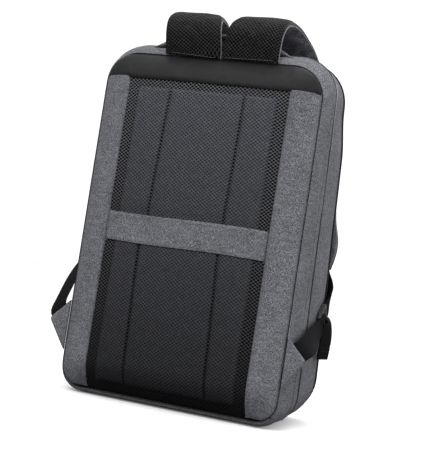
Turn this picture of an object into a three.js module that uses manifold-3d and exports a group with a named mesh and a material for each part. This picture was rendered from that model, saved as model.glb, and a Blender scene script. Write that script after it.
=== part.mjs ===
// Solar laptop backpack, standing on its base with the shoulder straps thrown forward over the top.
// Millimetres, +Z up. The wearer's back panel faces -Y, the solar panel faces +Y.
// Right is +X and left is -X, as seen when looking at the back panel.
// Pieces are built with y = 0 on the seam round the back panel. The whole group is then moved
// so that the origin lies on the floor under the middle of the base panel.
import * as THREE from 'three';
import { mergeVertices } from 'three/addons/utils/BufferGeometryUtils.js';
import Module from 'manifold-3d';

const wasm = await Module();
wasm.setup();

// ---------------------------------------------------------------- driving dimensions
const ORIGIN_Y = 70;          // back seam to the origin
const DEPTH_FLOOR = 150;      // back seam to front piping, at floor level
const DEPTH_SLOPE = 1 / 9;    // depth lost per millimetre of height: the bag is a wedge
const REAR = { halfWidth: 142, bottom: 8, top: 438, topRadius: 41, bottomRadius: 27 };
const SHELL_T = 3;            // gusset fabric with its foam
const ZIP_SHARE = 0.43;       // where the main zip runs, as a share of the depth
const POCKET_DEPTH = 19;
const WIDTH_SPAN = 450;       // height over which the bottom half width becomes the top one

// Outline at stations through the depth: share of the local depth, half width at the top and
// at the bottom, top z, bottom z, top corner radius, bottom corner radius.
const STATIONS = [
  [0, REAR.halfWidth, REAR.halfWidth, REAR.top, REAR.bottom, REAR.topRadius, REAR.bottomRadius],
  [0.035, 143.5, 144, 441.5, 5, 42, 29],
  [0.12, 146, 147.5, 448, 1.2, 45, 33],
  [0.2, 147, 148.6, 451.2, 0, 46.4, 35],
  [0.25, 147.5, 149, 453, 0, 47, 36],
  [ZIP_SHARE, 148, 150.5, 457, 0, 48, 40],
  [0.9, 150.5, 154.2, 463, 0, 51.3, 53.2],
  [1, 151, 155, 464, 3, 52, 56],
];

const SIDES = [['left', -1], ['right', 1]];

const PAINT = {
  grey: { color: 0x6b6c70, roughness: 0.9 },
  lining: { color: 0x55565a, roughness: 0.9 },
  blackMesh: { color: 0x2f3033, roughness: 0.95 },
  band: { color: 0x2b2c2e, roughness: 0.7 },
  webbing: { color: 0x17181a, roughness: 0.8 },
  piping: { color: 0x1d1e20, roughness: 0.7 },
  foam: { color: 0x3a3b3d, roughness: 1 },
  board: { color: 0x202124, roughness: 0.6 },
  plastic: { color: 0x141517, roughness: 0.45 },
  steel: { color: 0x3a3b3d, roughness: 0.35, metalness: 0.8 },
  cells: { color: 0x0d1a33, roughness: 0.25 },
};

const bag = new THREE.Group();
bag.position.set(0, -ORIGIN_Y, 0);

function put(name, geometry, paint, parent = bag) {
  const mesh = new THREE.Mesh(geometry, new THREE.MeshStandardMaterial(paint));
  mesh.name = name;
  parent.add(mesh);
}

// ---------------------------------------------------------------- small helpers
const depthAt = (z) => DEPTH_FLOOR - DEPTH_SLOPE * z;
const lerp = (from, to, t) => from + (to - from) * t;
const span = (from, to, n) => Array.from({ length: n + 1 }, (_, i) => lerp(from, to, i / n));
const vec = (x, y, z) => new THREE.Vector3(x, y, z);

// ---------------------------------------------------------------- solid helpers
// An indexed mesh from points and consistently wound triangles, turned to face outwards.
function meshOf(points, index) {
  let volume = 0;
  for (let i = 0; i < index.length; i += 3) {
    const [a, b, c] = index.slice(i, i + 3).map((k) => points[k]);
    volume += a.dot(b.clone().cross(c));
  }
  const geometry = new THREE.BufferGeometry().setFromPoints(points);
  geometry.setIndex(index);
  if (volume < 0) flipWinding(geometry);
  return geometry;
}

function flipWinding(geometry) {
  const index = geometry.index.array;
  for (let i = 0; i < index.length; i += 3) {
    [index[i + 1], index[i + 2]] = [index[i + 2], index[i + 1]];
  }
}

function mirrored(geometry) {
  const copy = geometry.clone().scale(-1, 1, 1);
  flipWinding(copy);
  return copy;
}

// A closed sheet between two grids of points of the same size.
function sheet(outer, inner) {
  const rows = outer.length;
  const cols = outer[0].length;
  const index = [];
  const id = (layer, i, j) => (layer * rows + i) * cols + j;
  const quad = (a, b, c, d) => index.push(a, b, c, a, c, d);
  for (let i = 0; i < rows - 1; i++) {
    for (let j = 0; j < cols - 1; j++) {
      quad(id(0, i, j), id(0, i + 1, j), id(0, i + 1, j + 1), id(0, i, j + 1));
      quad(id(1, i, j), id(1, i, j + 1), id(1, i + 1, j + 1), id(1, i + 1, j));
    }
  }
  const endCol = cols - 1;
  for (let i = 0; i < rows - 1; i++) {
    quad(id(0, i, 0), id(1, i, 0), id(1, i + 1, 0), id(0, i + 1, 0));
    quad(id(0, i, endCol), id(0, i + 1, endCol), id(1, i + 1, endCol), id(1, i, endCol));
  }
  const endRow = rows - 1;
  for (let j = 0; j < cols - 1; j++) {
    quad(id(0, 0, j), id(0, 0, j + 1), id(1, 0, j + 1), id(1, 0, j));
    quad(id(0, endRow, j), id(1, endRow, j), id(1, endRow, j + 1), id(0, endRow, j + 1));
  }
  return meshOf([...outer.flat(), ...inner.flat()], index);
}

// A solid through a list of rings. The ends are closed with fans, or the list wraps into a loop.
// The strips listed in crossed are split along the other diagonal.
function rings(list, { loop = false, crossed = [] } = {}) {
  const count = list.length;
  const sides = list[0].length;
  const points = list.flat();
  const index = [];
  for (let i = 0; i < (loop ? count : count - 1); i++) {
    const here = i * sides;
    const next = ((i + 1) % count) * sides;
    for (let j = 0; j < sides; j++) {
      const k = (j + 1) % sides;
      const [a, b, c, d] = [here + j, here + k, next + k, next + j];
      if (crossed.includes(j)) index.push(a, b, d, b, c, d);
      else index.push(a, b, c, a, c, d);
    }
  }
  if (!loop) {
    for (const end of [0, count - 1]) {
      const centre = points.length;
      points.push(list[end].reduce((sum, p) => sum.add(p), vec(0, 0, 0)).divideScalar(sides));
      for (let j = 0; j < sides; j++) {
        const a = end * sides + j;
        const b = end * sides + (j + 1) % sides;
        if (end === 0) index.push(centre, b, a);
        else index.push(centre, a, b);
      }
    }
  }
  return meshOf(points, index);
}

function weld(geometry) {
  geometry.deleteAttribute('normal');
  geometry.deleteAttribute('uv');
  return mergeVertices(geometry, 1e-4);
}

function manifold(geometry) {
  const welded = weld(geometry);
  return new wasm.Manifold(new wasm.Mesh({
    numProp: 3,
    vertProperties: new Float32Array(welded.attributes.position.array),
    triVerts: new Uint32Array(welded.index.array),
  }));
}

function geometryOf(solid) {
  const mesh = solid.getMesh();
  const geometry = new THREE.BufferGeometry();
  geometry.setAttribute('position', new THREE.Float32BufferAttribute(mesh.vertProperties, 3));
  geometry.setIndex(new THREE.BufferAttribute(new Uint32Array(mesh.triVerts), 1));
  return geometry;
}

// A box; size is [x, y, z] and place is its centre.
const block = ({ size, place }) => new THREE.BoxGeometry(...size).translate(...place);

// A rounded plate; size is [x, z, thickness in y] and place is the middle of its -Y face.
// Each hole is [x, z, width, height] from the plate's middle.
function plate({ size, radius, place, holes = [], segments = 3 }) {
  const [width, height, thickness] = size;
  const cornerX = width / 2 - radius;
  const cornerZ = height / 2 - radius;
  const corners = [
    [cornerX, -cornerZ, -1], [cornerX, cornerZ, 0], [-cornerX, cornerZ, 1], [-cornerX, -cornerZ, 2],
  ];
  const points = corners.flatMap(([x, z, quarter]) => span(quarter, quarter + 1, segments).map((q) => {
    const angle = q * Math.PI / 2;
    return new THREE.Vector2(x + radius * Math.cos(angle), z + radius * Math.sin(angle));
  }));
  const shape = new THREE.Shape(points);
  const slab = new THREE.ExtrudeGeometry(shape, { depth: thickness, bevelEnabled: false });
  slab.rotateX(Math.PI / 2);      // the shape's y becomes z, the extrusion runs along -Y
  slab.translate(0, thickness, 0);
  let solid = manifold(slab);
  for (const [x, z, holeWidth, holeHeight] of holes) {
    const cutter = { size: [holeWidth, 4 * thickness, holeHeight], place: [x, thickness / 2, z] };
    solid = solid.subtract(manifold(block(cutter)));
  }
  return geometryOf(solid).translate(...place);
}

// A flat band through stations [x, y, z, width, thickness, width direction].
// shift moves it along its normal, narrow takes that much off each edge.
function band(stations, { shift = 0, thick, narrow = 0, chamfer = 0, crossed = [] } = {}) {
  const path = stations.map(([x, y, z]) => vec(x, y, z));
  const list = stations.map(([, , , width, thickness, direction], i) => {
    const next = path[Math.min(i + 1, path.length - 1)];
    const tangent = next.clone().sub(path[Math.max(i - 1, 0)]).normalize();
    const across = vec(...direction);
    across.addScaledVector(tangent, -across.dot(tangent)).normalize();
    const normal = tangent.clone().cross(across).normalize();
    const w = width / 2 - narrow;
    const h = (thick ?? thickness) / 2;
    const c = Math.min(chamfer, h * 0.8);
    const profile = c > 0
      ? [[-w + c, -h], [w - c, -h], [w, -h + c], [w, h - c],
        [w - c, h], [-w + c, h], [-w, h - c], [-w, -h + c]]
      : [[-w, -h], [w, -h], [w, h], [-w, h]];
    return profile.map(([a, b]) => (
      path[i].clone().addScaledVector(across, a).addScaledVector(normal, b + shift)));
  });
  return rings(list, { crossed });
}

// ---------------------------------------------------------------- outline of the bag
const ARC_STEPS = 5;
const SIDE_STEPS = 5;
const HALF_TOP_STEPS = 3;

function profileAt(share) {
  const next = STATIONS.findIndex((row, i) => i > 0 && share <= row[0]);
  const [before, after] = [STATIONS[next - 1], STATIONS[next]];
  const t = (share - before[0]) / (after[0] - before[0]);
  return before.map((value, column) => lerp(value, after[column], t));
}

// 40 points at a share of the depth, moved inwards by inset and towards +Y by forward.
// They start at bottom centre and run anticlockwise as seen from -Y.
function outline(share, inset = 0, forward = 0) {
  const [, widthTop, widthBottom, zTop, zBottom, radiusTop, radiusBottom] = profileAt(share);
  const halfWidth = (z) => lerp(widthBottom, widthTop, z / WIDTH_SPAN) - inset;
  const [top, bottom] = [zTop - inset, zBottom + inset];
  const [topRadius, bottomRadius] = [radiusTop - inset, radiusBottom - inset];
  const [sideTop, sideBottom] = [top - topRadius, bottom + bottomRadius];
  const bottomX = halfWidth(sideBottom) - bottomRadius;
  const topX = halfWidth(sideTop) - topRadius;
  const half = [[0, bottom], [0.5 * (halfWidth(bottom) - bottomRadius), bottom], [bottomX, bottom]];
  const quarter = span(0, Math.PI / 2, ARC_STEPS).slice(1);
  for (const angle of quarter) {
    half.push([
      bottomX + bottomRadius * Math.sin(angle),
      sideBottom - bottomRadius * Math.cos(angle),
    ]);
  }
  for (const z of span(sideBottom, sideTop, SIDE_STEPS).slice(1)) half.push([halfWidth(z), z]);
  for (const angle of quarter) {
    half.push([topX + topRadius * Math.cos(angle), sideTop + topRadius * Math.sin(angle)]);
  }
  for (const x of span(topX, 0, HALF_TOP_STEPS).slice(1)) half.push([x, top]);
  const otherHalf = half.slice(1, -1).reverse().map(([x, z]) => [-x, z]);
  return [...half, ...otherHalf].map(([x, z]) => vec(x, share * depthAt(z) + forward, z));
}

// Stretches of the outline, as first and last point number; numbers past the end wrap round.
const RIGHT = [5, 15];
const TOP = [15, 25];
const LEFT = [25, 35];
const BASE = [35, 45];
const ZIP_RUN = [6, 34];      // up one side, over the top and down the other
const END_TRIM = 0.3;         // taken off both ends of a stretch

// Part of the shell through depth shares, along one stretch, between two inward offsets.
function shell(shares, [first, last], outerInset = 0, innerInset = SHELL_T) {
  const grid = (inset) => shares.map((share) => {
    const points = outline(share, inset);
    const row = [];
    for (let i = first; i <= last; i++) row.push(points[i % points.length]);
    const trim = (end, neighbour) => neighbour.clone().sub(end).normalize().multiplyScalar(END_TRIM);
    const startTrim = trim(row[0], row[1]);
    const endTrim = trim(row.at(-1), row.at(-2));
    row[0].add(startTrim);
    row.at(-1).add(endTrim);
    return row;
  });
  return sheet(grid(outerInset), grid(innerInset));
}

// A round cord along the outline at a share of the depth.
const CORD_SIDES = 5;
function cord(share, radius) {
  const points = outline(share);
  const count = points.length;
  const seamNormal = vec(0, 1, DEPTH_SLOPE * share).normalize();
  const list = points.map((point, i) => {
    const before = points[(i + count - 1) % count];
    const tangent = points[(i + 1) % count].clone().sub(before).normalize();
    const across = tangent.clone().cross(seamNormal).normalize();
    const along = tangent.clone().cross(across).normalize();
    return Array.from({ length: CORD_SIDES }, (_, k) => {
      const angle = (2 * Math.PI * k) / CORD_SIDES;
      return point.clone().addScaledVector(across, radius * Math.cos(angle))
        .addScaledVector(along, radius * Math.sin(angle));
    });
  });
  return rings(list, { loop: true });
}

// ---------------------------------------------------------------- padded back
const CROWN = 15;             // how far the padding stands behind its seam
const CROWN_MID = 4.3;        // extra crown in the middle of the mesh
const CROWN_RAMP = { side: 38, top: 36, bottom: 40 }; // distances over which the padding rises
const MESH_HALF_W = 104.5;    // half width of the air-mesh field
const BAND_Z = 404;           // lower edge of the smooth band over the mesh
const BACK_INNER_Y = 2;       // inner face of the strips and the band
const MESH_T = 1.4;
const FOAM_Y = { behindCover: 3.2, inner: 2.6 };
const LUGGAGE_Y = { outer: -2.6, inner: -0.8 }; // measured from the padded surface
const FRAME_BOARD = { size: [266, 408, 1.8], radius: 30, place: [0, 3.3, 225], segments: 4 };

// Heights of the rows of points, from the bottom up.
const STRIP_Z = [12, 15, 20, 28, 36, 60, 120, 200, 300, 360, 385, BAND_Z - 0.8];
const COVER_Z = [11.6, 16, 24, 34, 48, 110, 200, 300, 370, 388, BAND_Z - 0.8];
const LUGGAGE_Z = [197.5, 215, 233];
const TOP_BAND_X = [-138, -135, -128, -115, -101, -60, 0, 60, 101, 115, 128, 135, 138];
// Pad rows and columns: name, lower and upper limit.
const FOAM_ROWS = [['upper', 238, 396], ['lower', 26, 193]];
const FOAM_COLS = [['left', -100, -54], ['centre', -47, 46], ['right', 52, 100]];

const ease = (t) => Math.sin(Math.min(1, Math.max(0, t)) * Math.PI / 2);

// Outer surface of the padded back.
function backY(x, z) {
  const rise = ease((REAR.top - z) / CROWN_RAMP.top) * ease((z - REAR.bottom) / CROWN_RAMP.bottom);
  const padding = CROWN * ease((REAR.halfWidth - Math.abs(x)) / CROWN_RAMP.side);
  const middle = CROWN_MID * (1 - Math.min(1, (x / MESH_HALF_W) ** 2));
  return -(padding + middle) * rise;
}

// The rounded back seam: how far a corner cuts in, the seam's half width and its top edge.
const cornerCut = (radius, past) => (past > 0 ? radius - Math.sqrt(radius ** 2 - past ** 2) : 0);
const edgeX = (z) => REAR.halfWidth
  - cornerCut(REAR.bottomRadius, REAR.bottom + REAR.bottomRadius - z)
  - cornerCut(REAR.topRadius, z - REAR.top + REAR.topRadius);
const edgeZ = (x) => REAR.top
  - cornerCut(REAR.topRadius, Math.abs(x) - REAR.halfWidth + REAR.topRadius);

// A sheet over a grid of [x, z], between two surfaces y(x, z).
function backSheet(grid, outerY, innerY) {
  const layer = (surface) => grid.map((row) => row.map(([x, z]) => vec(x, surface(x, z), z)));
  return sheet(layer(outerY), layer(innerY));
}
const gridOf = (heights, xsAt) => heights.map((z) => xsAt(z).map((x) => [x, z]));
const flatInner = () => BACK_INNER_Y;

for (const [side, sign] of SIDES) {
  const xsAt = (z) => span(sign * (MESH_HALF_W + 0.8), sign * (edgeX(z) - 3.9), 4);
  put('side_strip_' + side, backSheet(gridOf(STRIP_Z, xsAt), backY, flatInner), PAINT.grey);
}
{
  const grid = gridOf(COVER_Z, () => span(-MESH_HALF_W + 0.4, MESH_HALF_W - 0.4, 8));
  const innerY = (x, z) => Math.min(BACK_INNER_Y, backY(x, z) + MESH_T);
  put('back_mesh_cover', backSheet(grid, backY, innerY), PAINT.blackMesh);
}
{
  const grid = [0, 0.35, 0.7, 1].map((t) => (
    TOP_BAND_X.map((x) => [x, lerp(BAND_Z + 0.2, edgeZ(x) - 4.6, t)])));
  put('top_band', backSheet(grid, backY, flatInner), PAINT.band);
}
for (const [row, low, high] of FOAM_ROWS) {
  const heights = [0, 0.14, 0.5, 0.86, 1].map((t) => lerp(low, high, t));
  for (const [column, from, to] of FOAM_COLS) {
    const pad = backSheet(gridOf(heights, () => span(from, to, 2)),
      (x, z) => backY(x, z) + FOAM_Y.behindCover, () => FOAM_Y.inner);
    put(`foam_pad_${row}_${column}`, pad, PAINT.foam);
  }
}
put('luggage_strap', backSheet(gridOf(LUGGAGE_Z, () => span(-103.4, 103.4, 10)),
  (x, z) => backY(x, z) + LUGGAGE_Y.outer, (x, z) => backY(x, z) + LUGGAGE_Y.inner), PAINT.grey);
put('back_frame_board', plate(FRAME_BOARD), PAINT.board);
put('rear_piping', cord(0, 1.4), PAINT.piping);

// ---------------------------------------------------------------- rear half of the shell
const GUSSET_GAP = 0.015;             // gusset edge to the zip line, as a share of the depth
const TAPE_SHARE = [0.004, 0.06];     // zip tape edges from the zip line, likewise
const TAPE_INSET = [3.4, 4.3];
const REAR_SHARES = [0.035, 0.12, 0.25, ZIP_SHARE - GUSSET_GAP];
const BASE_SHARES = [0.035, 0.12, 0.2, 0.9, 0.975];
const BASE_STIFFENER = { size: [196, 98, 2], place: [0, 82, 4.6] };
const LAPTOP_SLEEVE = { size: [248, 318, 4], radius: 14, place: [0, 22, 170] };

function putGussets(half, shares) {
  put(half + '_gusset_right', shell(shares, RIGHT), PAINT.grey);
  put(half + '_gusset_left', shell(shares, LEFT), PAINT.grey);
  put(half + '_gusset_top', shell(shares, TOP), PAINT.grey);
}

putGussets('rear', REAR_SHARES);
put('base_panel', shell(BASE_SHARES, BASE), PAINT.grey);
put('main_zip_rear_tape',
  shell([ZIP_SHARE - TAPE_SHARE[1], ZIP_SHARE - TAPE_SHARE[0]], ZIP_RUN, ...TAPE_INSET),
  PAINT.webbing);
put('base_stiffener', block(BASE_STIFFENER), PAINT.board);
put('laptop_sleeve', plate(LAPTOP_SLEEVE), PAINT.lining);

// ---------------------------------------------------------------- front half and its pocket
const FRONT_SHARES = [ZIP_SHARE + GUSSET_GAP, 0.7, 0.9, 0.978];
const POCKET_LINING = { shares: [0.945, 0.96], inset: 4 };
// Section of the pocket shell from its inner face, round the rim, to its outer face:
// inset from the front outline, distance in front of it.
const POCKET_SECTION = [
  [22, POCKET_DEPTH - 2.6], [8, 13.4], [4.8, 8.4], [4.4, 2.4],
  [1.8, 2.4], [2.2, 9], [5, 15], [12, 18.2], [22, POCKET_DEPTH],
];

putGussets('front', FRONT_SHARES);
put('main_zip_front_tape',
  shell([ZIP_SHARE + TAPE_SHARE[0], ZIP_SHARE + TAPE_SHARE[1]], ZIP_RUN, ...TAPE_INSET),
  PAINT.webbing);
put('front_piping', cord(1, 1.6), PAINT.piping);
put('pocket_lining',
  rings(POCKET_LINING.shares.map((share) => outline(share, POCKET_LINING.inset))), PAINT.lining);
put('front_pocket_shell',
  rings(POCKET_SECTION.map(([inset, forward]) => outline(1, inset, forward))), PAINT.grey);

// ---------------------------------------------------------------- pocket face
// The face leans with the wedge, so what is fixed to it sits in a tilted group:
// local +Y points out of the face, local Z runs up it.
const SOLAR = { width: 214, height: 304, z: 207, border: 12, gap: 0.4 };
const SOLAR_FRAME = {
  size: [SOLAR.width, SOLAR.height, 2.2],
  radius: 12,
  place: [0, 0.4, 0],
  holes: [[0, 0, SOLAR.width - 2 * SOLAR.border, SOLAR.height - 2 * SOLAR.border]],
};
const LAMINATE = { thickness: 1.2, y: 1.0 };
const CELL = { size: [88, 0.6, 64], y: 1.7, gap: 4, columns: 2, rows: 4 };
const POCKET_ZIP_Z = 184;
// Plates on the face: name, paint, dimensions.
const FACE_PLATES = [
  ['pocket_zip_tape', PAINT.webbing,
    { size: [212, 9, 0.9], radius: 3, place: [0, 0.4, POCKET_ZIP_Z] }],
  ['pocket_zip_slider', PAINT.steel,
    { size: [12, 8, 3], radius: 2.5, place: [0, 1.8, POCKET_ZIP_Z] }],
  ['pocket_zip_pull', PAINT.plastic,
    { size: [7, 26, 1.6], radius: 3, place: [0, 2.4, 166.6], holes: [[0, 9.5, 3.2, 2.4]] }],
  ['junction_box', PAINT.plastic, { size: [56, 34, 8], radius: 4, place: [0, -11.6, 108] }],
  ['charge_controller', PAINT.plastic, { size: [74, 46, 9], radius: 5, place: [-52, -12.6, 26] }],
];
// Cable centre lines: x, y, z on the face.
const CABLE_RADIUS = 2;
const SOLAR_CABLE = [
  [-29, -7.5, 108], [-40, -7.5, 106], [-50, -7.5, 92], [-52, -7.5, 70], [-52, -7.5, 50],
];
const USB_CABLE = [
  [-90, -7.5, 26], [-98, -8, 30], [-110, -9, 50], [-122, -12, 88], [-132, -16, 116],
];

const face = new THREE.Group();
face.position.set(0, depthAt(SOLAR.z) + POCKET_DEPTH, SOLAR.z);
face.rotation.x = Math.atan(DEPTH_SLOPE);
bag.add(face);

// The sheet inside the frame, with the cells standing on it.
function solarLaminate() {
  const margin = 2 * (SOLAR.border + SOLAR.gap);
  const size = [SOLAR.width - margin, LAMINATE.thickness, SOLAR.height - margin];
  let solid = manifold(block({ size, place: [0, LAMINATE.y, 0] }));
  for (let i = 0; i < CELL.columns; i++) {
    for (let j = 0; j < CELL.rows; j++) {
      const x = (i - (CELL.columns - 1) / 2) * (CELL.size[0] + CELL.gap);
      const z = (j - (CELL.rows - 1) / 2) * (CELL.size[2] + CELL.gap);
      solid = solid.add(manifold(block({ size: CELL.size, place: [x, CELL.y, z] })));
    }
  }
  return geometryOf(solid);
}

function cable(points) {
  const section = new THREE.Shape();
  section.absarc(0, 0, CABLE_RADIUS, 0, 2 * Math.PI);
  const extrudePath = new THREE.CatmullRomCurve3(points.map((p) => vec(...p)));
  const options = { steps: 12, curveSegments: 6, extrudePath, bevelEnabled: false };
  return weld(new THREE.ExtrudeGeometry(section, options));
}

put('solar_frame', plate(SOLAR_FRAME), PAINT.plastic, face);
put('solar_laminate', solarLaminate(), PAINT.cells, face);
for (const [name, paint, dimensions] of FACE_PLATES) put(name, plate(dimensions), paint, face);
put('solar_cable', cable(SOLAR_CABLE), PAINT.webbing, face);
put('usb_cable', cable(USB_CABLE), PAINT.webbing, face);

// ---------------------------------------------------------------- USB socket, left side
// Each part: size, and how far its centre stands out from the gusset at x.
const OUTLET = {
  x: -151.4,
  y: 0.72 * depthAt(335),
  z: 335,
  body: [[3.2, 18, 42], 1.6],
  recess: [[2.4, 6, 14], 2.9],
  flap: [[1.4, 16, 38], 4.3],
};
const outletBlock = ([size, out]) => block({ size, place: [OUTLET.x - out, OUTLET.y, OUTLET.z] });
const outletSolid = manifold(outletBlock(OUTLET.body))
  .subtract(manifold(outletBlock(OUTLET.recess)));
put('usb_outlet', geometryOf(outletSolid), PAINT.plastic);
put('usb_flap', outletBlock(OUTLET.flap), PAINT.plastic);

// ---------------------------------------------------------------- main zip sliders, at the top
const ZIP_TOP = profileAt(ZIP_SHARE)[3];
const SLIDER = { size: [14, 9, 3.4], x: 9, z: ZIP_TOP + 3.7 };
const PULL = { size: [28, 7, 1.6], x: 30.6, z: ZIP_TOP + 3.6 };
for (const [side, sign] of SIDES) {
  const onZip = ({ size, x, z }) => block({ size, place: [sign * x, ZIP_SHARE * depthAt(ZIP_TOP), z] });
  put('main_zip_slider_' + side, onZip(SLIDER), PAINT.steel);
  put('main_zip_pull_' + side, onZip(PULL), PAINT.plastic);
}

// ---------------------------------------------------------------- carry handle on the top gusset
const HANDLE = {
  span: 128, width: 20, thickness: 5.5, chamfer: 1.4, y: 26, endZ: 464, rise: 8, steps: 10,
};
// Sections of a handle root, outwards: x, bottom z at the rear edge, top z, half width.
const ROOT = [[65.2, 454, 467, 10], [74, 454, 466, 10], [84, 454, 460.5, 10], [91, 453.6, 457.5, 9]];
const ROOT_STEP = 2.2;        // the bottom is this much higher at the front edge

for (const [side, sign] of SIDES) {
  const sections = ROOT.map(([x, bottom, top, half]) => {
    const [rear, front] = [HANDLE.y - half, HANDLE.y + half];
    const corners = [[rear, bottom], [front, bottom + ROOT_STEP], [front, top], [rear, top]];
    return corners.map(([y, z]) => vec(sign * x, y, z));
  });
  put('handle_root_' + side, rings(sections), PAINT.grey);
}
const handleStations = span(-1, 1, HANDLE.steps).map((u) => [
  u * HANDLE.span / 2, HANDLE.y, HANDLE.endZ + HANDLE.rise * (1 - u * u),
  HANDLE.width, HANDLE.thickness, [0, 1, 0],
]);
put('carry_handle', band(handleStations, { chamfer: HANDLE.chamfer }), PAINT.grey);

// ---------------------------------------------------------------- shoulder straps
const STRAP_T = 10;
const LINING_T = 1.2;
const X = [1, 0, 0];
// Right strap pad, root to end: x, y, z, width, thickness, width direction.
const STRAP = [
  [45, -3.6, 444.6, 72, 6, X], [45.5, -4.6, 457, 72, 8, X],
  [46.5, -3.2, 471, 71, STRAP_T, X], [48, 4, 484, 70, STRAP_T, X],
  [50, 19, 493.5, 68, STRAP_T, X], [52, 41, 497.5, 68, STRAP_T, X],
  [54, 68, 497.5, 68, STRAP_T, X], [57, 96, 492, 68, STRAP_T, X],
  [60, 122, 481.5, 69, STRAP_T, [1, 0, 0.1]], [65, 143.5, 464.5, 70, STRAP_T, [1, 0, 0.16]],
  [71, 157.5, 442, 70, STRAP_T, [1, 0, 0.24]], [78, 166.5, 415, 70, STRAP_T, [1, 0, 0.34]],
  [86, 169, 384, 69, STRAP_T, [1, 0, 0.4]], [94.5, 169, 350, 67, STRAP_T, [1, 0, 0.42]],
  [103.5, 168, 318, 65, STRAP_T, [1, -0.04, 0.44]],
  [113, 166, 288, 62, STRAP_T, [1, -0.1, 0.44]],
  [121, 163, 260, 58, STRAP_T, [1, -0.2, 0.42]],
  [131, 160.5, 235, 53, 9.6, [1, -0.34, 0.4]],
  [136, 159, 214, 42, 9, [1, -0.45, 0.42]],
  [139.5, 156.5, 199, 30, 8, [0.95, -0.6, 0.42]],
];
// The left strap is drawn up shorter, and its root is sewn in nearer the centre line.
const LEFT_RISE = 64;
const LEFT_SHIFT = 15;
const LEFT_BULGE = 6;         // how far it bows forward below the bend
const BEND = 11;              // station where the strap turns down the front

// Webbing, as seen on the right side: x, y, z, width direction, thickness if not WEB_T.
const WEB_W = 25;
const WEB_T = 1.6;
const LOWER_WEBBING = {
  right: [
    [160.3, 0.6, 99.3, [1, 0, -1]], [163.3, 6, 102.5, [1, 0.08, -1]],
    [165.2, 20, 107.5, [0.9, 0.15, -1]], [164.6, 42, 114, [0.6, 0.25, -1]],
    [163, 64, 119.5, [0.3, 0.4, -1]], [161.8, 84, 124, [0.12, 0.5, -1]],
    [161.4, 94, 126.5, [0.05, 0.6, -0.9]],
  ],
  left: [
    [160.9, 0.8, 99.9, [1, 0, -1]], [163, 6, 106, [1, 0.05, -0.95]],
    [163.6, 20, 121, [1, 0.1, -0.9]], [164.2, 42, 143, [1, 0.15, -0.85]],
    [163.2, 64, 163, [0.9, 0.3, -0.8]], [161.8, 84, 180.5, [0.4, 0.6, -0.8]],
    [161.4, 94, 189.5, [0.1, 0.66, -0.75]],
  ],
};
const LOOP = [
  [140.4, 156.2, 194.9, [0.95, -0.6, 0.42], 2.4], [145.8, 155, 183, [0.85, -0.4, 0.5], 2.4],
  [153.2, 149.4, 170.5, [0.54, -0.54, 0.63], 2.4], [158, 139.5, 160.5, [0.2, -0.64, 0.72], 2.4],
  [158.8, 131, 153.3, [0.02, -0.66, 0.75], 2.4], [158.4, 126, 148.8, [0, -0.66, 0.75], 2.4],
];
const TAIL = [
  [164.6, 114.5, 131, [0.2, 0.98, 0]], [165.4, 115.5, 122, [0.3, 0.95, 0]],
  [165.6, 116.5, 110, [0.36, 0.93, 0]], [164.6, 117.5, 98, [0.35, 0.93, 0]],
  [163.8, 118, 86, [0.33, 0.94, 0], 3.4],
];
// Corners of the tab sewn into the back seam: x, z.
const TAB = [[144.3, 50], [167.6, 84.5], [168, 88], [150, 106], [144.3, 114]];
const TAB_T = 2.6;
// Three-bar buckle with two slots.
const BUCKLE = {
  size: [34, 30, 4], radius: 4, place: [0, -2, 0],
  holes: [[0, 8, 26, 6], [0, -8, 26, 6]], segments: 2,
};
const BUCKLE_TILT = -0.85;
const BUCKLE_PLACE = [158, 112, 136];

const mirroredDirection = ([x, y, z]) => [x, -y, -z];

function leftStrap() {
  return STRAP.map(([x, y, z, width, thickness, direction], i) => {
    const t = Math.max(0, (i - BEND) / (STRAP.length - 1 - BEND));
    return [
      -x + LEFT_SHIFT * (1 - Math.min(1, i / BEND)),
      y + LEFT_BULGE * Math.sin(Math.PI * t),
      z + LEFT_RISE * t,
      width, thickness, mirroredDirection(direction),
    ];
  });
}

function webbing(list, sign, rise = 0) {
  const stations = list.map(([x, y, z, direction, thickness = WEB_T]) => [
    sign * x, y, z + rise, WEB_W, thickness, sign > 0 ? direction : mirroredDirection(direction),
  ]);
  // a thin twisting band needs both faces split along the same diagonal
  return band(stations, { crossed: [2] });
}

function webbingTab() {
  const shape = new THREE.Shape(TAB.map(([x, z]) => new THREE.Vector2(x, z)));
  shape.closePath();
  const tab = new THREE.ExtrudeGeometry(shape, { depth: TAB_T, bevelEnabled: false });
  return weld(tab.rotateX(Math.PI / 2).translate(0, TAB_T / 2, 0));
}

// Turned flat to the side of the bag.
function buckle(rise) {
  const [x, y, z] = BUCKLE_PLACE;
  return plate(BUCKLE).rotateZ(Math.PI / 2).rotateX(BUCKLE_TILT).translate(x, y, z + rise);
}

// The lining lies on the side of the pad that faces the bag.
function strapLining(strap) {
  const shift = STRAP_T / 2 + 1.4;
  return band(strap.slice(1, 19), { shift, thick: LINING_T, narrow: 2, crossed: [0, 1, 3] });
}

for (const [side, sign] of SIDES) {
  const strap = sign > 0 ? STRAP : leftStrap();
  const rise = sign > 0 ? 0 : LEFT_RISE;
  const onSide = (geometry) => (sign > 0 ? geometry : mirrored(geometry));
  put('strap_pad_' + side, band(strap, { chamfer: 2.5 }), PAINT.blackMesh);
  put('strap_lining_' + side, strapLining(strap), PAINT.lining);
  put('webbing_tab_' + side, onSide(webbingTab()), PAINT.grey);
  put('lower_webbing_' + side, webbing(LOWER_WEBBING[side], sign), PAINT.webbing);
  put('buckle_loop_' + side, webbing(LOOP, sign, rise), PAINT.webbing);
  put('ladder_lock_' + side, onSide(buckle(rise)), PAINT.plastic);
  put('webbing_tail_' + side, webbing(TAIL, sign, rise), PAINT.webbing);
}

export default bag;
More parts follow.
